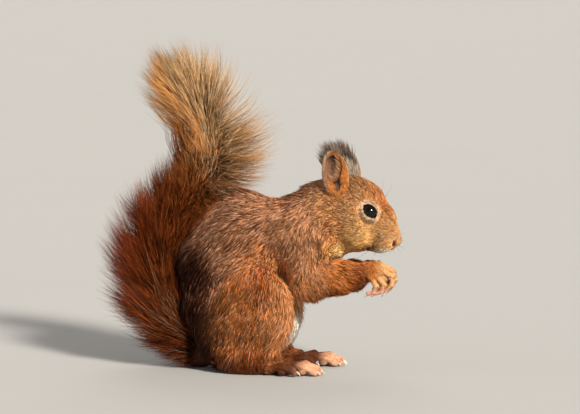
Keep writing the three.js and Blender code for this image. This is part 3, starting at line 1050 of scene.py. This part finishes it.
def coat_tufts(roots, raised=1.0, shortened=1.0):
    length, lift, width, _ = (roots.shares @ GROWTH).T
    number = len(roots)
    p, n, flow = roots.places, roots.normals, roots.flows
    swirl = SWIRL["broad"] * waves(p, SWIRL["wavelength"]) + rng.normal(0, SWIRL["single"], number)
    flow = flow * np.cos(swirl)[:, None] + np.cross(n, flow) * np.sin(swirl)[:, None]
    side = np.cross(n, flow)
    tone = roots.tone * np.clip(length / 5, 0.6, 1)
    by_eye = np.clip((eye_distance(p) - 0.3) / 6, 0.48, 1)
    lip = lips(p)
    length = shortened * length * by_eye * (1 - 0.7 * inner_ear(p, n)) * (1 + 0.7 * lip)
    length = length * np.clip(rng.normal(1, VARIES["length"], number), 0.6, 1.5)
    lift = raised * np.radians(lift * (1 + lip)) * np.clip(rng.normal(1, VARIES["lift"], number), 0.4, 1.7)
    width = width * rng.uniform(0.8, 1.2, number)
    base = p - n * (width * 0.4)[:, None]
    curl = rng.normal(0, VARIES["curl"], number) * length
    line = []
    for t in (0.0, 0.45, 1.0):
        along = (length * np.cos(lift) * t)[:, None] * flow
        height = (length * np.sin(lift) * (t - 0.5 * t * t))[:, None] * n
        sideways = (curl * t * t)[:, None] * side
        line.append(base + along + height + sideways + roots.aside * INTO_LOCK * t * t)
    line = np.stack(line, 1)
    line[:, :, 2] = np.maximum(line[:, :, 2], OVER_FLOOR)
    amount = roots.shares @ np.array(list(GRIZZLED_AND_GLINTING.values()))
    return {
        "line": line,
        "side": side,
        "rise": n,
        "widths": width[:, None],
        "colours": grizzled_and_glinting(roots.colours, amount, tone),
        "uv": roots.uv,
    }


COAT_PIECES = [
    ("coat_back", "coat_back", ("back", "tail")),
    ("coat_front", "coat_back", ("belly", "neck")),
    ("coat_head", "coat_head", ("crown", "cheek")),
    ("coat_face", "coat_head", ("face", "nose")),
    ("coat_legs", "coat_legs", ("thigh", "shin")),
    ("coat_arms", "coat_arms", ("upper_arm", "forearm")),
    ("coat_paws", "paws", ("foot", "hand")),
    ("coat_ears", "ears", ("ear",)),
]
MOST_TUFTS = 30000  # in one piece, at six triangles each
FINGERTIPS = 50.6  # the hands are bare below this height
SOLE = {"height": 4.5, "facing": -0.55}  # the feet are bare below this height where they face down
LOWEST_ROOT = 0.8


def bare(p, n, shares):
    """Where no hair grows: the open eyes, nostrils, fingertips, soles, ear notches and the floor's level."""
    sole = (n[:, 2] < SOLE["facing"]) & (p[:, 2] < SOLE["height"])
    finger = (shares[:, REGION_NAMES.index("hand")] > 0.5) & (p[:, 2] < FINGERTIPS)
    eye = eye_distance(p, DARK_RIM) < 0.1
    nose = spot(p, NOSTRIL, (1.5, 1.6, 2.6)) > 0
    return sole | finger | eye | nose | (notch_distance(p) < 0.4) | (p[:, 2] < LOWEST_ROOT)


def clear_of_flesh(roots):
    """The tufts whose tips are outside the flesh. The others are tried once more, raised and shorter."""
    tufts, shares = [], []
    for raised, shortened in ((1.0, 1.0), (2.2, 0.6)):
        tried = coat_tufts(roots, raised, shortened)
        clear = flesh_at(tried["line"][:, -1]) > -0.3
        tufts.append(picked(tried, clear))
        shares.append(roots.shares[clear])
        roots = roots.kept(~clear)
    return together(tufts), np.concatenate(shares)


def body_coat(skin, material):
    near_eye = ramp(eye_distance(skin.vertices), 5.5, 2.5)
    roots = skin.sample(skin.shares @ GROWTH[:, 3] * (1 + 1.3 * near_eye))
    roots = roots.kept(~bare(roots.places, roots.normals, roots.shares))
    lay_in_locks(roots)
    tufts, shares = clear_of_flesh(roots)
    main = np.array(REGION_NAMES)[shares.argmax(1)]
    for name, slot, regions in COAT_PIECES:
        chosen = np.nonzero(np.isin(main, regions))[0]
        parts = math.ceil(len(chosen) / MOST_TUFTS)
        for i in range(parts):
            full = name if parts == 1 else f"{name}_{i + 1}"
            tuft_piece(full, material, picked(tufts, chosen[i::parts]))


# ---- Tail ----
class TailLine:
    """The core's middle line, its way and its radius at a share of its length."""

    def __init__(self, stations):
        stations = np.array(stations, float)
        steps = np.hypot(*np.diff(stations[:, :2], axis=0).T)
        at = np.concatenate([[0], np.cumsum(steps)])
        self.at, self.stations = at / at[-1], stations

    def mixed(self, share, column):
        return np.interp(share, self.at, self.stations[:, column])

    def place(self, share):
        return np.stack([self.mixed(share, 0), np.zeros_like(share), self.mixed(share, 1)], 1)

    def way(self, share, step=0.03):
        return unit(self.place(np.clip(share + step, 0, 1)) - self.place(np.clip(share - step, 0, 1)))

    def radius(self, share):
        return self.mixed(share, 2)


CORE = TailLine(TAIL_CORE)
TAIL_ENVELOPE = chain(TAIL_COAT, 5.0)
TAIL_START = 0.02  # the share of the core at which the hair starts
LOCKS, UNDER_LOCKS = 1650, 700
TAIL_LEAN = 60.0  # degrees out from the core
LONGEST_HAIR = 60.0
CLUMPS = 13  # along the tail, where the locks lean together
TAIL_ROOM = 3.5  # how far hairs may reach past the coat's outline
WAIST = {"height": 144.0, "depth": 11.0}  # behind the tail's bend, where the hairs are shorter by that depth
LEAN_OUT, LEAN_IN = 14.0, 22.0  # how many degrees further out a hair starts and further in it ends
TAIL_RINGS = 2
TAIL_OVER_FLOOR = 0.3


def hair_path(root, start, end, length, t):
    """A point at t along a hair that leaves along start and ends along end."""
    return root + length[:, None] * (start * t + (end - start) * (t * t / 2))


def tail_room(tip):
    """How far hairs may reach past the outline of the coat at their tips."""
    waist = ramp(np.abs(tip[:, 2] - WAIST["height"]), 15, 6) * ramp(tip[:, 0], -18, -30)
    return TAIL_ROOM - WAIST["depth"] * waist


def lock_lengths(root, start, end):
    """The longest that each lock can be inside the tail's outline and outside the body."""
    best = np.full(len(root), 4.0)
    for length in np.arange(5.0, LONGEST_HAIR, 2.0):
        lengths = np.full(len(root), length)
        tip, middle = (hair_path(root, start, end, lengths, t) for t in (1.0, 0.7))
        reach = np.maximum(TAIL_ENVELOPE.near(tip), TAIL_ENVELOPE.near(middle))
        best = np.where((reach < tail_room(tip)) & (flesh_at(tip) > 1.0), length, best)
    return best


def tail_radial(share, angle):
    """The way straight out from the core at that angle round it."""
    across = np.array([0.0, 1.0, 0.0])
    return np.cross(CORE.way(share), across) * np.cos(angle)[:, None] + across * np.sin(angle)[:, None]


def tail_way(share, angle, lean):
    """The way out from the core, leaning toward its tip by 90 degrees less lean."""
    lean = np.radians(lean)[:, None]
    return CORE.way(share) * np.cos(lean) + tail_radial(share, angle) * np.sin(lean)


def tail_dye(share, radial):
    """Dark red-brown along most of the tail, and a sandy fan that is more olive to the front."""
    share, front = share[:, None], radial[:, :1]
    colour = dye("1a0a04 642e10")
    for where, codes in (
        (ramp(share, 0.16, 0.34), "160702 5c2a0c"),
        (ramp(front, 0.0, -0.7) * ramp(share, 0.6, 0.4), "1e0a04 702f12"),
        (ramp(share, 0.5, 0.66), "2c1407 7c4216"),
    ):
        colour = mix(colour, dye(codes), where)
    front, fan = ramp(front, -0.5, 0.5), ramp(share, 0.63, 0.88)
    return mix(colour, mix(dye("925a2a d29452"), dye("785636 ae8a60"), front), fan)


def tail_locks(count):
    """Where the locks stand along the core and round it, how far they lean out and how long they are."""
    share = TAIL_START + (1 - TAIL_START) * rng.random(count) ** 0.92
    angle = rng.uniform(0, 2 * math.pi, count)
    # More locks toward the front and the back than to the sides, and the other way about in the fan.
    angle = angle - (0.3 - 0.4 * ramp(share, 0.58, 0.75)) * np.sin(2 * angle)
    # They lean out by TAIL_LEAN, less at the tip, and more at the front of the fan.
    end = ramp(share, 0.86, 1.0)
    lean = TAIL_LEAN * (1 - end * rng.uniform(0.1, 1.0, count)) + rng.normal(0, 9, count)
    radial = tail_radial(share, angle)
    lean = lean + 32 * ramp(radial[:, 0], -0.3, 0.6) * ramp(share, 0.45, 0.6) * ramp(share, 0.92, 0.8)
    clump = 2 * math.pi * CLUMPS * share
    clumped = 1 - ramp(share, 0.58, 0.72)
    lean = lean + 13 * clumped * np.sin(clump)
    start, finish = tail_way(share, angle, lean + LEAN_OUT), tail_way(share, angle, lean - LEAN_IN)
    root = CORE.place(share) + radial * (CORE.radius(share) * 0.6)[:, None]
    length = lock_lengths(root, start, finish) * rng.uniform(0.86, 1.04, count)
    length = length * (1 + 0.06 * clumped * np.cos(clump))
    return {"share": share, "angle": angle, "lean": lean, "length": length}


TAIL_PIECES = [
    ("tail_coat_lower", "tail_dark", 0.0, 0.4),
    ("tail_coat_upper", "tail_dark", 0.4, 0.68),
    ("tail_coat_fan", "tail_pale", 0.68, 1.01),
]
# Partly the hairs' own pale tips, partly painted glints of sunlight.
SILVER_TIP_AND_GLINT = linear("d6c8ac")
SILVERED_AND_GLINTING = 0.12  # of the hairs of the fan and of the tail's lower end, whose silvered tips are partly painted glints of sunlight


def strand_colours(share, radial, strands):
    """Each strand is lighter or darker by itself and with its lock, and some are silvered at their tips,
    partly as painted glints of sunlight.
    """
    count = len(share)
    tone = rng.normal(0, 0.46, count) + np.repeat(rng.normal(0, TONE, count // strands), strands)
    colours = tail_dye(share, radial) * np.exp(tone)[:, None]
    where = 0.75 * ramp(share, 0.62, 0.72) + 0.24 * ramp(share, 0.34, 0.14)
    silver = ((rng.random(count) < SILVERED_AND_GLINTING) * where)[:, None]
    return held_down(colours[:, :3], mix(colours[:, 3:], SILVER_TIP_AND_GLINT, silver))


def tail_tufts(locks, strands, reach, width, root_spread, tip_spread):
    """Strands in locks: their roots are spread along and round the core, and their tips come together."""
    count = len(locks["share"]) * strands
    each = {name: np.repeat(value, strands) for name, value in locks.items()}
    share = np.clip(each["share"] + rng.normal(0, root_spread, count), 0.05, 1)
    angle = each["angle"] + rng.normal(0, 0.28, count)
    radial = tail_radial(share, angle)
    start = unit(tail_way(share, angle, each["lean"] + LEAN_OUT))
    finish = unit(tail_way(each["share"], each["angle"], each["lean"] - LEAN_IN))
    root = CORE.place(share) + radial * (CORE.radius(share) * 0.5)[:, None]
    length = each["length"] * np.clip(rng.normal(reach, 0.1, count), 0.2, 1.05)
    steps = np.linspace(0, 1, TAIL_RINGS + 2)
    line = np.stack([hair_path(root, start, finish, length, t) for t in steps], 1)
    drift = (CORE.place(each["share"]) - root) * 0.35 + rng.normal(0, tip_spread, (count, 3))
    line += drift[:, None] * (steps**2)[None, :, None]
    line[:, :, 2] = np.maximum(line[:, :, 2], TAIL_OVER_FLOOR)
    side = unit(np.cross(radial, start))
    widths = width * rng.uniform(0.75, 1.25, (count, 1)) * np.linspace(1, 0.6, TAIL_RINGS)
    return {
        "line": line,
        "side": side,
        "rise": unit(np.cross(start, side)),
        "widths": widths,
        "colours": strand_colours(share, radial, strands),
        "share": share,
        "root": root,
    }


def tail_coat(skin, material):
    locks = tail_locks(LOCKS)
    long_hair = tail_tufts(locks, strands=16, reach=0.97, width=0.42, root_spread=0.013, tip_spread=1.7)
    locks = tail_locks(UNDER_LOCKS)
    under = tail_tufts(locks, strands=9, reach=0.5, width=0.6, root_spread=0.02, tip_spread=1.5)
    hair = together([long_hair, under])
    share, root = hair.pop("share"), hair.pop("root")
    hair["uv"] = nearest_uv(skin, root)
    for name, slot, low, high in TAIL_PIECES:
        tuft_piece(name, material, picked(hair, (share >= low) & (share < high)))


def nearest_uv(skin, points):
    """The place on the skin's unwrap that is nearest to each point."""
    tree = search_tree(skin.vertices[skin.triangles].mean(1))
    found = [tree.find(point)[1] for point in points]
    return skin.uv[found].mean(1)


# ---- Long hairs on the ears ----
def hairs(root, way, scatter, length, vary, bend, widths, dyes):
    """Hairs from each root, scattered about that way, bent toward their tips, between two dyes."""
    count = len(root)
    way = unit(way + rng.normal(0, scatter, (count, 3)))
    length = (length * rng.uniform(*vary, count))[:, None]
    steps = np.linspace(0, 1, 4)[None, :, None]
    line = root[:, None] + (way * length)[:, None] * steps + (np.array(bend) * length)[:, None] * steps**2
    side = unit(np.cross(way, np.array([0.0, 1.0, 0.0])))
    shade = rng.uniform(0, 1, (count, 1))
    colours = mix(dye(dyes[0]), dye(dyes[1]), shade)
    widths = np.array([widths]) * rng.uniform(0.8, 1.2, (count, 1))
    rise = unit(np.cross(way, side))
    return {"line": line, "side": side, "rise": rise, "widths": widths, "colours": colours}


def ear_tip_hairs(side, count=420):
    """The long dark and grey hairs that stand behind the rim."""
    along = rng.uniform(-1, 1, count)
    back_of_rim = (-1.6 - 1.2 * rng.random(count)) * side
    root = ear_middle(side) + ways(along, -1.4 + 5.6 * along, back_of_rim, 9.6 - 5.0 * along**2)
    root += rng.normal(0, 0.7, (count, 3))
    way = ways(along, -0.12 + 0.3 * along, 0.08 * side, 1)
    bend, dyes = (-0.28, -0.1 * side, 0), ("20140e 3a2c24", "4a3a2e a89484")
    length = 11.0 - 3.6 * along**2
    return root, hairs(root, way, 0.13, length, vary=(0.65, 1.1), bend=bend, widths=(0.34, 0.22), dyes=dyes)


def ear_cup_hairs(side, count=110):
    """Fine pale hairs that lie over the ear's cup from its front and lower rim."""
    turn = np.radians(rng.uniform(-125, 35, count))
    front_of_cup = (2.4 + rng.uniform(0, 1, count)) * side
    root = ear_middle(side) + ways(turn, -0.4 + 5.0 * np.cos(turn), front_of_cup, 4.0 + 8.4 * np.sin(turn))
    way = ways(turn, -0.25 - 0.7 * np.cos(turn), 0.35 * side, 1)
    bend, dyes = (-0.15, -0.1 * side, 0), ("6a3c1c a8683a", "9a6c48 e8c098")
    return root, hairs(root, way, 0.15, 1.0, vary=(3.0, 6.5), bend=bend, widths=(0.22, 0.15), dyes=dyes)


def ear_tufts(skin, material):
    parts = []
    for side in SIDES:
        for root, tufts in (ear_tip_hairs(side), ear_cup_hairs(side)):
            parts.append(tufts | {"uv": nearest_uv(skin, root)})
    tuft_piece("ear_tufts", material, together(parts))


# ---- Claws and whiskers: round tapering horns ----
HORN_STEPS = 8


def horn(points, radii, sides=8):
    """A closed tapering tube through the points, which ends in the last one."""
    along = unit(np.gradient(points, axis=0))
    across = unit(np.cross(along, np.array([0.013, 1.0, 0.017])))[:-1, None]
    rise = np.cross(across, along[:-1, None])
    turn = (np.arange(sides) * 2 * math.pi / sides)[None, :, None]
    rings = points[:-1, None] + radii[:-1, None, None] * (across * np.cos(turn) + rise * np.sin(turn))
    vertices = np.concatenate([points[:1], rings.reshape(-1, 3), points[-1:]])
    return vertices, tube_faces(len(rings), sides)


def joined_mesh(name, parts):
    starts = np.cumsum([0] + [len(vertices) for vertices, _ in parts])
    faces = [faces + start for (_, faces), start in zip(parts, starts)]
    return new_mesh(name, np.concatenate([vertices for vertices, _ in parts]), np.concatenate(faces))


def bowed(a, b, c):
    """Points on the curve from a to c that b pulls at."""
    t = np.linspace(0, 1, HORN_STEPS)[:, None]
    return a * (1 - t) ** 2 + 2 * t * (1 - t) * b + t * t * c


def claw(start, bend, end, radius):
    return horn(bowed(start, bend, end), radius * np.linspace(1, 0.05, HORN_STEPS) ** 0.8)


def whisker(root, way, length, droop, radius):
    middle, end = root + way * length * 0.5, root + way * length + droop
    return horn(bowed(root, middle, end), radius * np.linspace(1, 0.1, HORN_STEPS), 5)


def foot_claws():
    parts = []
    for side in SIDES:
        for out, tip in TOES:
            base = toe_joints(side, out, tip)[-1]
            end = base + (3.2, 0, -1.7)
            end[2] = max(end[2], 0.35)
            parts.append(claw(base + (-0.4, 0, 0.5), base + (2.2, 0, 1.2), end, 1.0))
    return parts


def hand_claws():
    parts = []
    for side in SIDES:
        for finger in FINGERS:
            knuckle, start = finger_joints(side, finger)[-2:]
            way = unit(start - knuckle)
            bend, end = start + way * 2.2 + (0.6, 0, -0.4), start + way * 3.6 + (-0.6, 0, -0.8)
            parts.append(claw(start, bend, end, 0.8))
    return parts


def whiskers():
    """Three rows of four on each side of the muzzle, and two hairs over each eye."""
    parts = []
    for side in SIDES:
        for row in range(3):
            for i in range(4):
                root = np.array([93.0 - 2.2 * i, (4.6 + 0.5 * i) * side, 80.6 - 2.0 * row])
                way = unit(np.array([0.75 - 0.36 * i, 1.0 * side, 0.25 - 0.3 * row]))
                length = 13 + 4.5 * i
                parts.append(whisker(root, way, length, np.array([-0.12, 0, -0.05]) * length, 0.14))
        for i in range(2):
            root = np.array([86.5 - 2.5 * i, 6.6 * side, 101.5 + 1.5 * i])
            way = unit(np.array([0.45 - 0.2 * i, 0.35 * side, 0.8]))
            parts.append(whisker(root, way, 14.0, (-1.5, 0, -0.5), 0.11))
    return parts


# ---- Eyeballs ----
CORNEA = 0.03  # how much fuller than the ball, as a share of its radius
CORNEA_SPREAD = 0.75  # in radians from the pupil


def eyeball(side, rings=24, sides=40):
    """A ball whose pole is its pupil, with a slightly fuller cornea."""
    centre, out, along, across = eye_frame(side)
    polar = (np.arange(rings + 1) * math.pi / rings)[:, None, None]
    turn = (np.arange(sides) * 2 * math.pi / sides)[None, :, None]
    round_way = along * np.cos(turn) + across * side * np.sin(turn)
    bulge = 1 + CORNEA * np.exp(-((polar / CORNEA_SPREAD) ** 2))
    ball = centre + (out * np.cos(polar) + round_way * np.sin(polar)) * BALL["radius"] * bulge
    vertices = np.concatenate([ball[0, :1], ball[1:-1].reshape(-1, 3), ball[-1, :1]])
    return vertices, tube_faces(rings - 1, sides)


# ---- Materials ----
class Nodes:
    """A new material and short ways to add nodes to it."""

    def __init__(self, name):
        self.material = bpy.data.materials.new(name)
        self.material.use_nodes = True
        self.tree = self.material.node_tree
        self.shader = self.tree.nodes["Principled BSDF"]

    def add(self, kind, source=None, **values):
        """A new node. Its first input takes the source, and the values go to its inputs or settings."""
        node = self.tree.nodes.new(kind)
        for name, value in values.items():
            if name in node.inputs:
                node.inputs[name].default_value = value
            else:
                setattr(node, name, value)
        if source:
            self.link(source, node.inputs[0])
        return node

    def link(self, start, end):
        self.tree.links.new(start, end)

    def place(self):
        return self.add("ShaderNodeTexCoord").outputs["Object"]

    def noise(self, scale, detail, stretch=None):
        where = self.place()
        if stretch:
            where = self.add("ShaderNodeMapping", where, Scale=stretch).outputs["Vector"]
        return self.add("ShaderNodeTexNoise", where, Scale=scale, Detail=detail).outputs["Fac"]

    def ramp(self, source, *stops):
        node = self.add("ShaderNodeValToRGB", source)
        elements = node.color_ramp.elements
        while len(elements) < len(stops):
            elements.new(0.5)
        for element, (at, colour) in zip(elements, stops):
            element.position = at
            element.color = (*colour, 1)
        return node.outputs["Color"]

    def tinted(self, colour):
        """The colour times the tint of the mesh's vertices."""
        tint = self.add("ShaderNodeAttribute", attribute_name="tint").outputs["Color"]
        node = self.add("ShaderNodeMix", data_type="RGBA", blend_type="MULTIPLY")
        factor, a, b = (node.inputs[i] for i in (0, 6, 7))
        factor.default_value = 1.0
        self.link(tint, a)
        self.link(colour, b)
        return node.outputs[2]

    def bump(self, height, distance, strength):
        node = self.add("ShaderNodeBump", Strength=strength, Distance=distance)
        self.link(height, node.inputs["Height"])
        self.link(node.outputs["Normal"], self.shader.inputs["Normal"])

    def finished(self, colour, **looks):
        self.link(colour, self.shader.inputs["Base Color"])
        for name, value in looks.items():
            self.shader.inputs[name.replace("_", " ")].default_value = value
        return self.material


def grey(value):
    return (value, value, value)


def grained(name, noise, low, high, tinted=False, bump=None, **looks):
    """A material whose colour runs from low to high with a noise. bump is a distance and a strength."""
    nodes = Nodes(name)
    grain = nodes.noise(*noise)
    colour = nodes.ramp(grain, low, high)
    if tinted:
        colour = nodes.tinted(colour)
    if bump:
        nodes.bump(grain, *bump)
    return nodes.finished(colour, **looks)


def skin_material():
    """The skin under the coat, in the coat's markings with their painted light and shade, with the grain of
    short flat hair.
    """
    low, high = (0.3, grey(0.72)), (0.7, grey(1.1))
    flesh_looks = {"Specular_IOR_Level": 0.3, "Subsurface_Weight": 0.05, "Subsurface_Scale": 0.001}
    return grained("coat_skin", (1500, 4), low, high, True, (0.0002, 0.6), Roughness=0.62, **flesh_looks)


def fur_material(name, brightest):
    """Hair in the tint of its piece, mottled at the scale of a few hairs."""
    low, high = (0.3, grey(0.8)), (0.7, grey(brightest))
    return grained(name, (900, 2), low, high, True, Roughness=0.5, Specular_IOR_Level=0.07)


def claw_material():
    noise = (700, 3, (0.3, 1, 1))
    low, high = (0.35, linear("8c7868")), (0.65, linear("dccabb"))
    return grained("claw_horn", noise, low, high, bump=(0.0001, 0.4), Roughness=0.34, Specular_IOR_Level=0.5)


def whisker_material():
    return grained("whisker", (300, 2), (0.3, linear("2c2018")), (0.7, linear("6a5648")), Roughness=0.35)


def floor_material():
    return grained("floor_pale", (3, 2), (0.3, grey(0.467)), (0.7, grey(0.473)), Roughness=0.8)


def eye_material(name, side):
    """A dark brown iris that is nearly as dark as the pupil, under a wet cornea."""
    nodes = Nodes(name)
    centre, out, _, _ = eye_frame(side)
    from_pole = nodes.add("ShaderNodeVectorMath", nodes.place(), operation="DISTANCE")
    from_pole.inputs[1].default_value = to_frame(centre + out * BALL["radius"])
    centimetres = nodes.add("ShaderNodeMath", from_pole.outputs["Value"], operation="MULTIPLY")
    centimetres.inputs[1].default_value = 100.0
    pupil, iris, edge = linear("030202"), linear("170c07"), linear("060403")
    stops = (0.22, pupil), (0.3, iris), (0.46, iris), (0.56, edge)
    wet = {"Roughness": 0.1, "Specular_IOR_Level": 0.25, "Coat_Weight": 0.1, "Coat_Roughness": 0.02}
    return nodes.finished(nodes.ramp(centimetres.outputs[0], *stops), **wet)


# ---- The whole animal ----
def unwrap(piece):
    """Gives the skin its unwrap, laid out from its own shape."""
    piece.data.uv_layers.new(name="OFBake")
    bpy.context.view_layer.objects.active = piece
    piece.select_set(True)
    bpy.ops.object.mode_set(mode="EDIT")
    bpy.ops.mesh.select_all(action="SELECT")
    bpy.ops.uv.smart_project(angle_limit=math.radians(66), island_margin=0.002)
    bpy.ops.object.mode_set(mode="OBJECT")
    piece.select_set(False)


def make_skin():
    vertices, faces = skin_surface()
    mesh = new_mesh("skin", vertices, faces)
    flesh_nodes = [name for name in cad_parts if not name.startswith("eye_")]
    piece = new_piece("skin", mesh, skin_material(), flesh_nodes)
    unwrap(piece)
    skin = Skin(piece, vertices)
    paint_vertices(mesh, mix(skin.colours[:, :3], skin.colours[:, 3:], 0.45))
    return skin


def make_animal():
    skin = make_skin()
    body_coat(skin, fur_material("body_fur", 1.2))
    tail_coat(skin, fur_material("tail_fur", 1.2))
    ear_tufts(skin, fur_material("ear_fur", 1.15))
    for side, name in zip(SIDES, ("right", "left")):
        mesh = new_mesh(f"eyeball_{name}", *eyeball(side))
        new_piece(f"eyeball_{name}", mesh, eye_material(f"eye_{name}_wet", side), [f"eye_{name}"])
    horn_material = claw_material()
    new_piece("claws_feet", joined_mesh("claws_feet", foot_claws()), horn_material)
    new_piece("claws_hands", joined_mesh("claws_hands", hand_claws()), horn_material)
    new_piece("whiskers", joined_mesh("whiskers", whiskers()), whisker_material())


# ---- Floor, light and camera ----
AZIMUTH, ELEVATION = math.radians(16), math.radians(4)
AIM = {"right": 30.0, "up": 96.6}  # the middle of the view, in millimetres along its own right and up
VIEW_WIDTH = 348.0
DISTANCE = 2000.0
SENSOR = 36.0
HORIZON = (0.67, 0.63, 0.57, 1)
ZENITH = (0.28, 0.27, 0.255, 1)


def add_floor():
    bpy.ops.mesh.primitive_circle_add(vertices=128, radius=70, fill_type="NGON", location=(0, 0, 0))
    floor = bpy.context.object
    floor.name = "floor"
    floor.data.materials.append(floor_material())


def add_camera():
    ca, sa, ce, se = math.cos(AZIMUTH), math.sin(AZIMUTH), math.cos(ELEVATION), math.sin(ELEVATION)
    right = np.array([ca, sa, 0])
    up = np.array([-sa * se, ca * se, ce])
    away = np.array([sa * ce, -ca * ce, se])
    camera = bpy.data.objects.new("camera", bpy.data.cameras.new("camera"))
    bpy.context.scene.collection.objects.link(camera)
    target = right * AIM["right"] + up * AIM["up"]
    camera.location = Vector(to_frame(target + away * DISTANCE))
    camera.rotation_mode = "QUATERNION"
    camera.rotation_quaternion = Vector(-away).to_track_quat("-Z", "Y")
    camera.data.sensor_width = SENSOR
    camera.data.lens = SENSOR * DISTANCE / VIEW_WIDTH
    camera.data.clip_end = 200
    bpy.context.scene.camera = camera


def add_sun(name, toward, angle, strength, colour):
    light = bpy.data.lights.new(name, "SUN")
    light.angle = math.radians(angle)
    light.energy, light.color = strength, colour
    lamp = bpy.data.objects.new(name, light)
    bpy.context.scene.collection.objects.link(lamp)
    lamp.rotation_mode = "QUATERNION"
    lamp.rotation_quaternion = (-Vector(toward)).to_track_quat("-Z", "Y")


def studio_world():
    """Soft light from all round, which has the floor's own tone where it meets the floor."""
    world = bpy.data.worlds.new("studio")
    world.use_nodes = True
    tree = world.node_tree
    way = tree.nodes.new("ShaderNodeTexCoord")
    parts = tree.nodes.new("ShaderNodeSeparateXYZ")
    tones = tree.nodes.new("ShaderNodeValToRGB")
    tree.links.new(way.outputs["Generated"], parts.inputs["Vector"])
    tree.links.new(parts.outputs["Z"], tones.inputs["Fac"])
    tree.links.new(tones.outputs["Color"], tree.nodes["Background"].inputs["Color"])
    low, high = tones.color_ramp.elements
    low.position, low.color = 0.12, HORIZON
    high.position, high.color = 0.45, ZENITH
    return world


def add_lights():
    add_sun("key", (0.9, -1.0, 0.72), 10, 5.8, (1.0, 0.93, 0.82))
    add_sun("fill", (-0.9, -0.5, 0.7), 50, 0.1, (0.95, 0.97, 1.0))
    add_sun("back", (-0.3, 1.0, 0.8), 40, 0.6, (1.0, 0.96, 0.9))
    bpy.context.scene.world = studio_world()
    bpy.context.scene.view_settings.view_transform = "Standard"


make_animal()
add_floor()
add_camera()
add_lights()
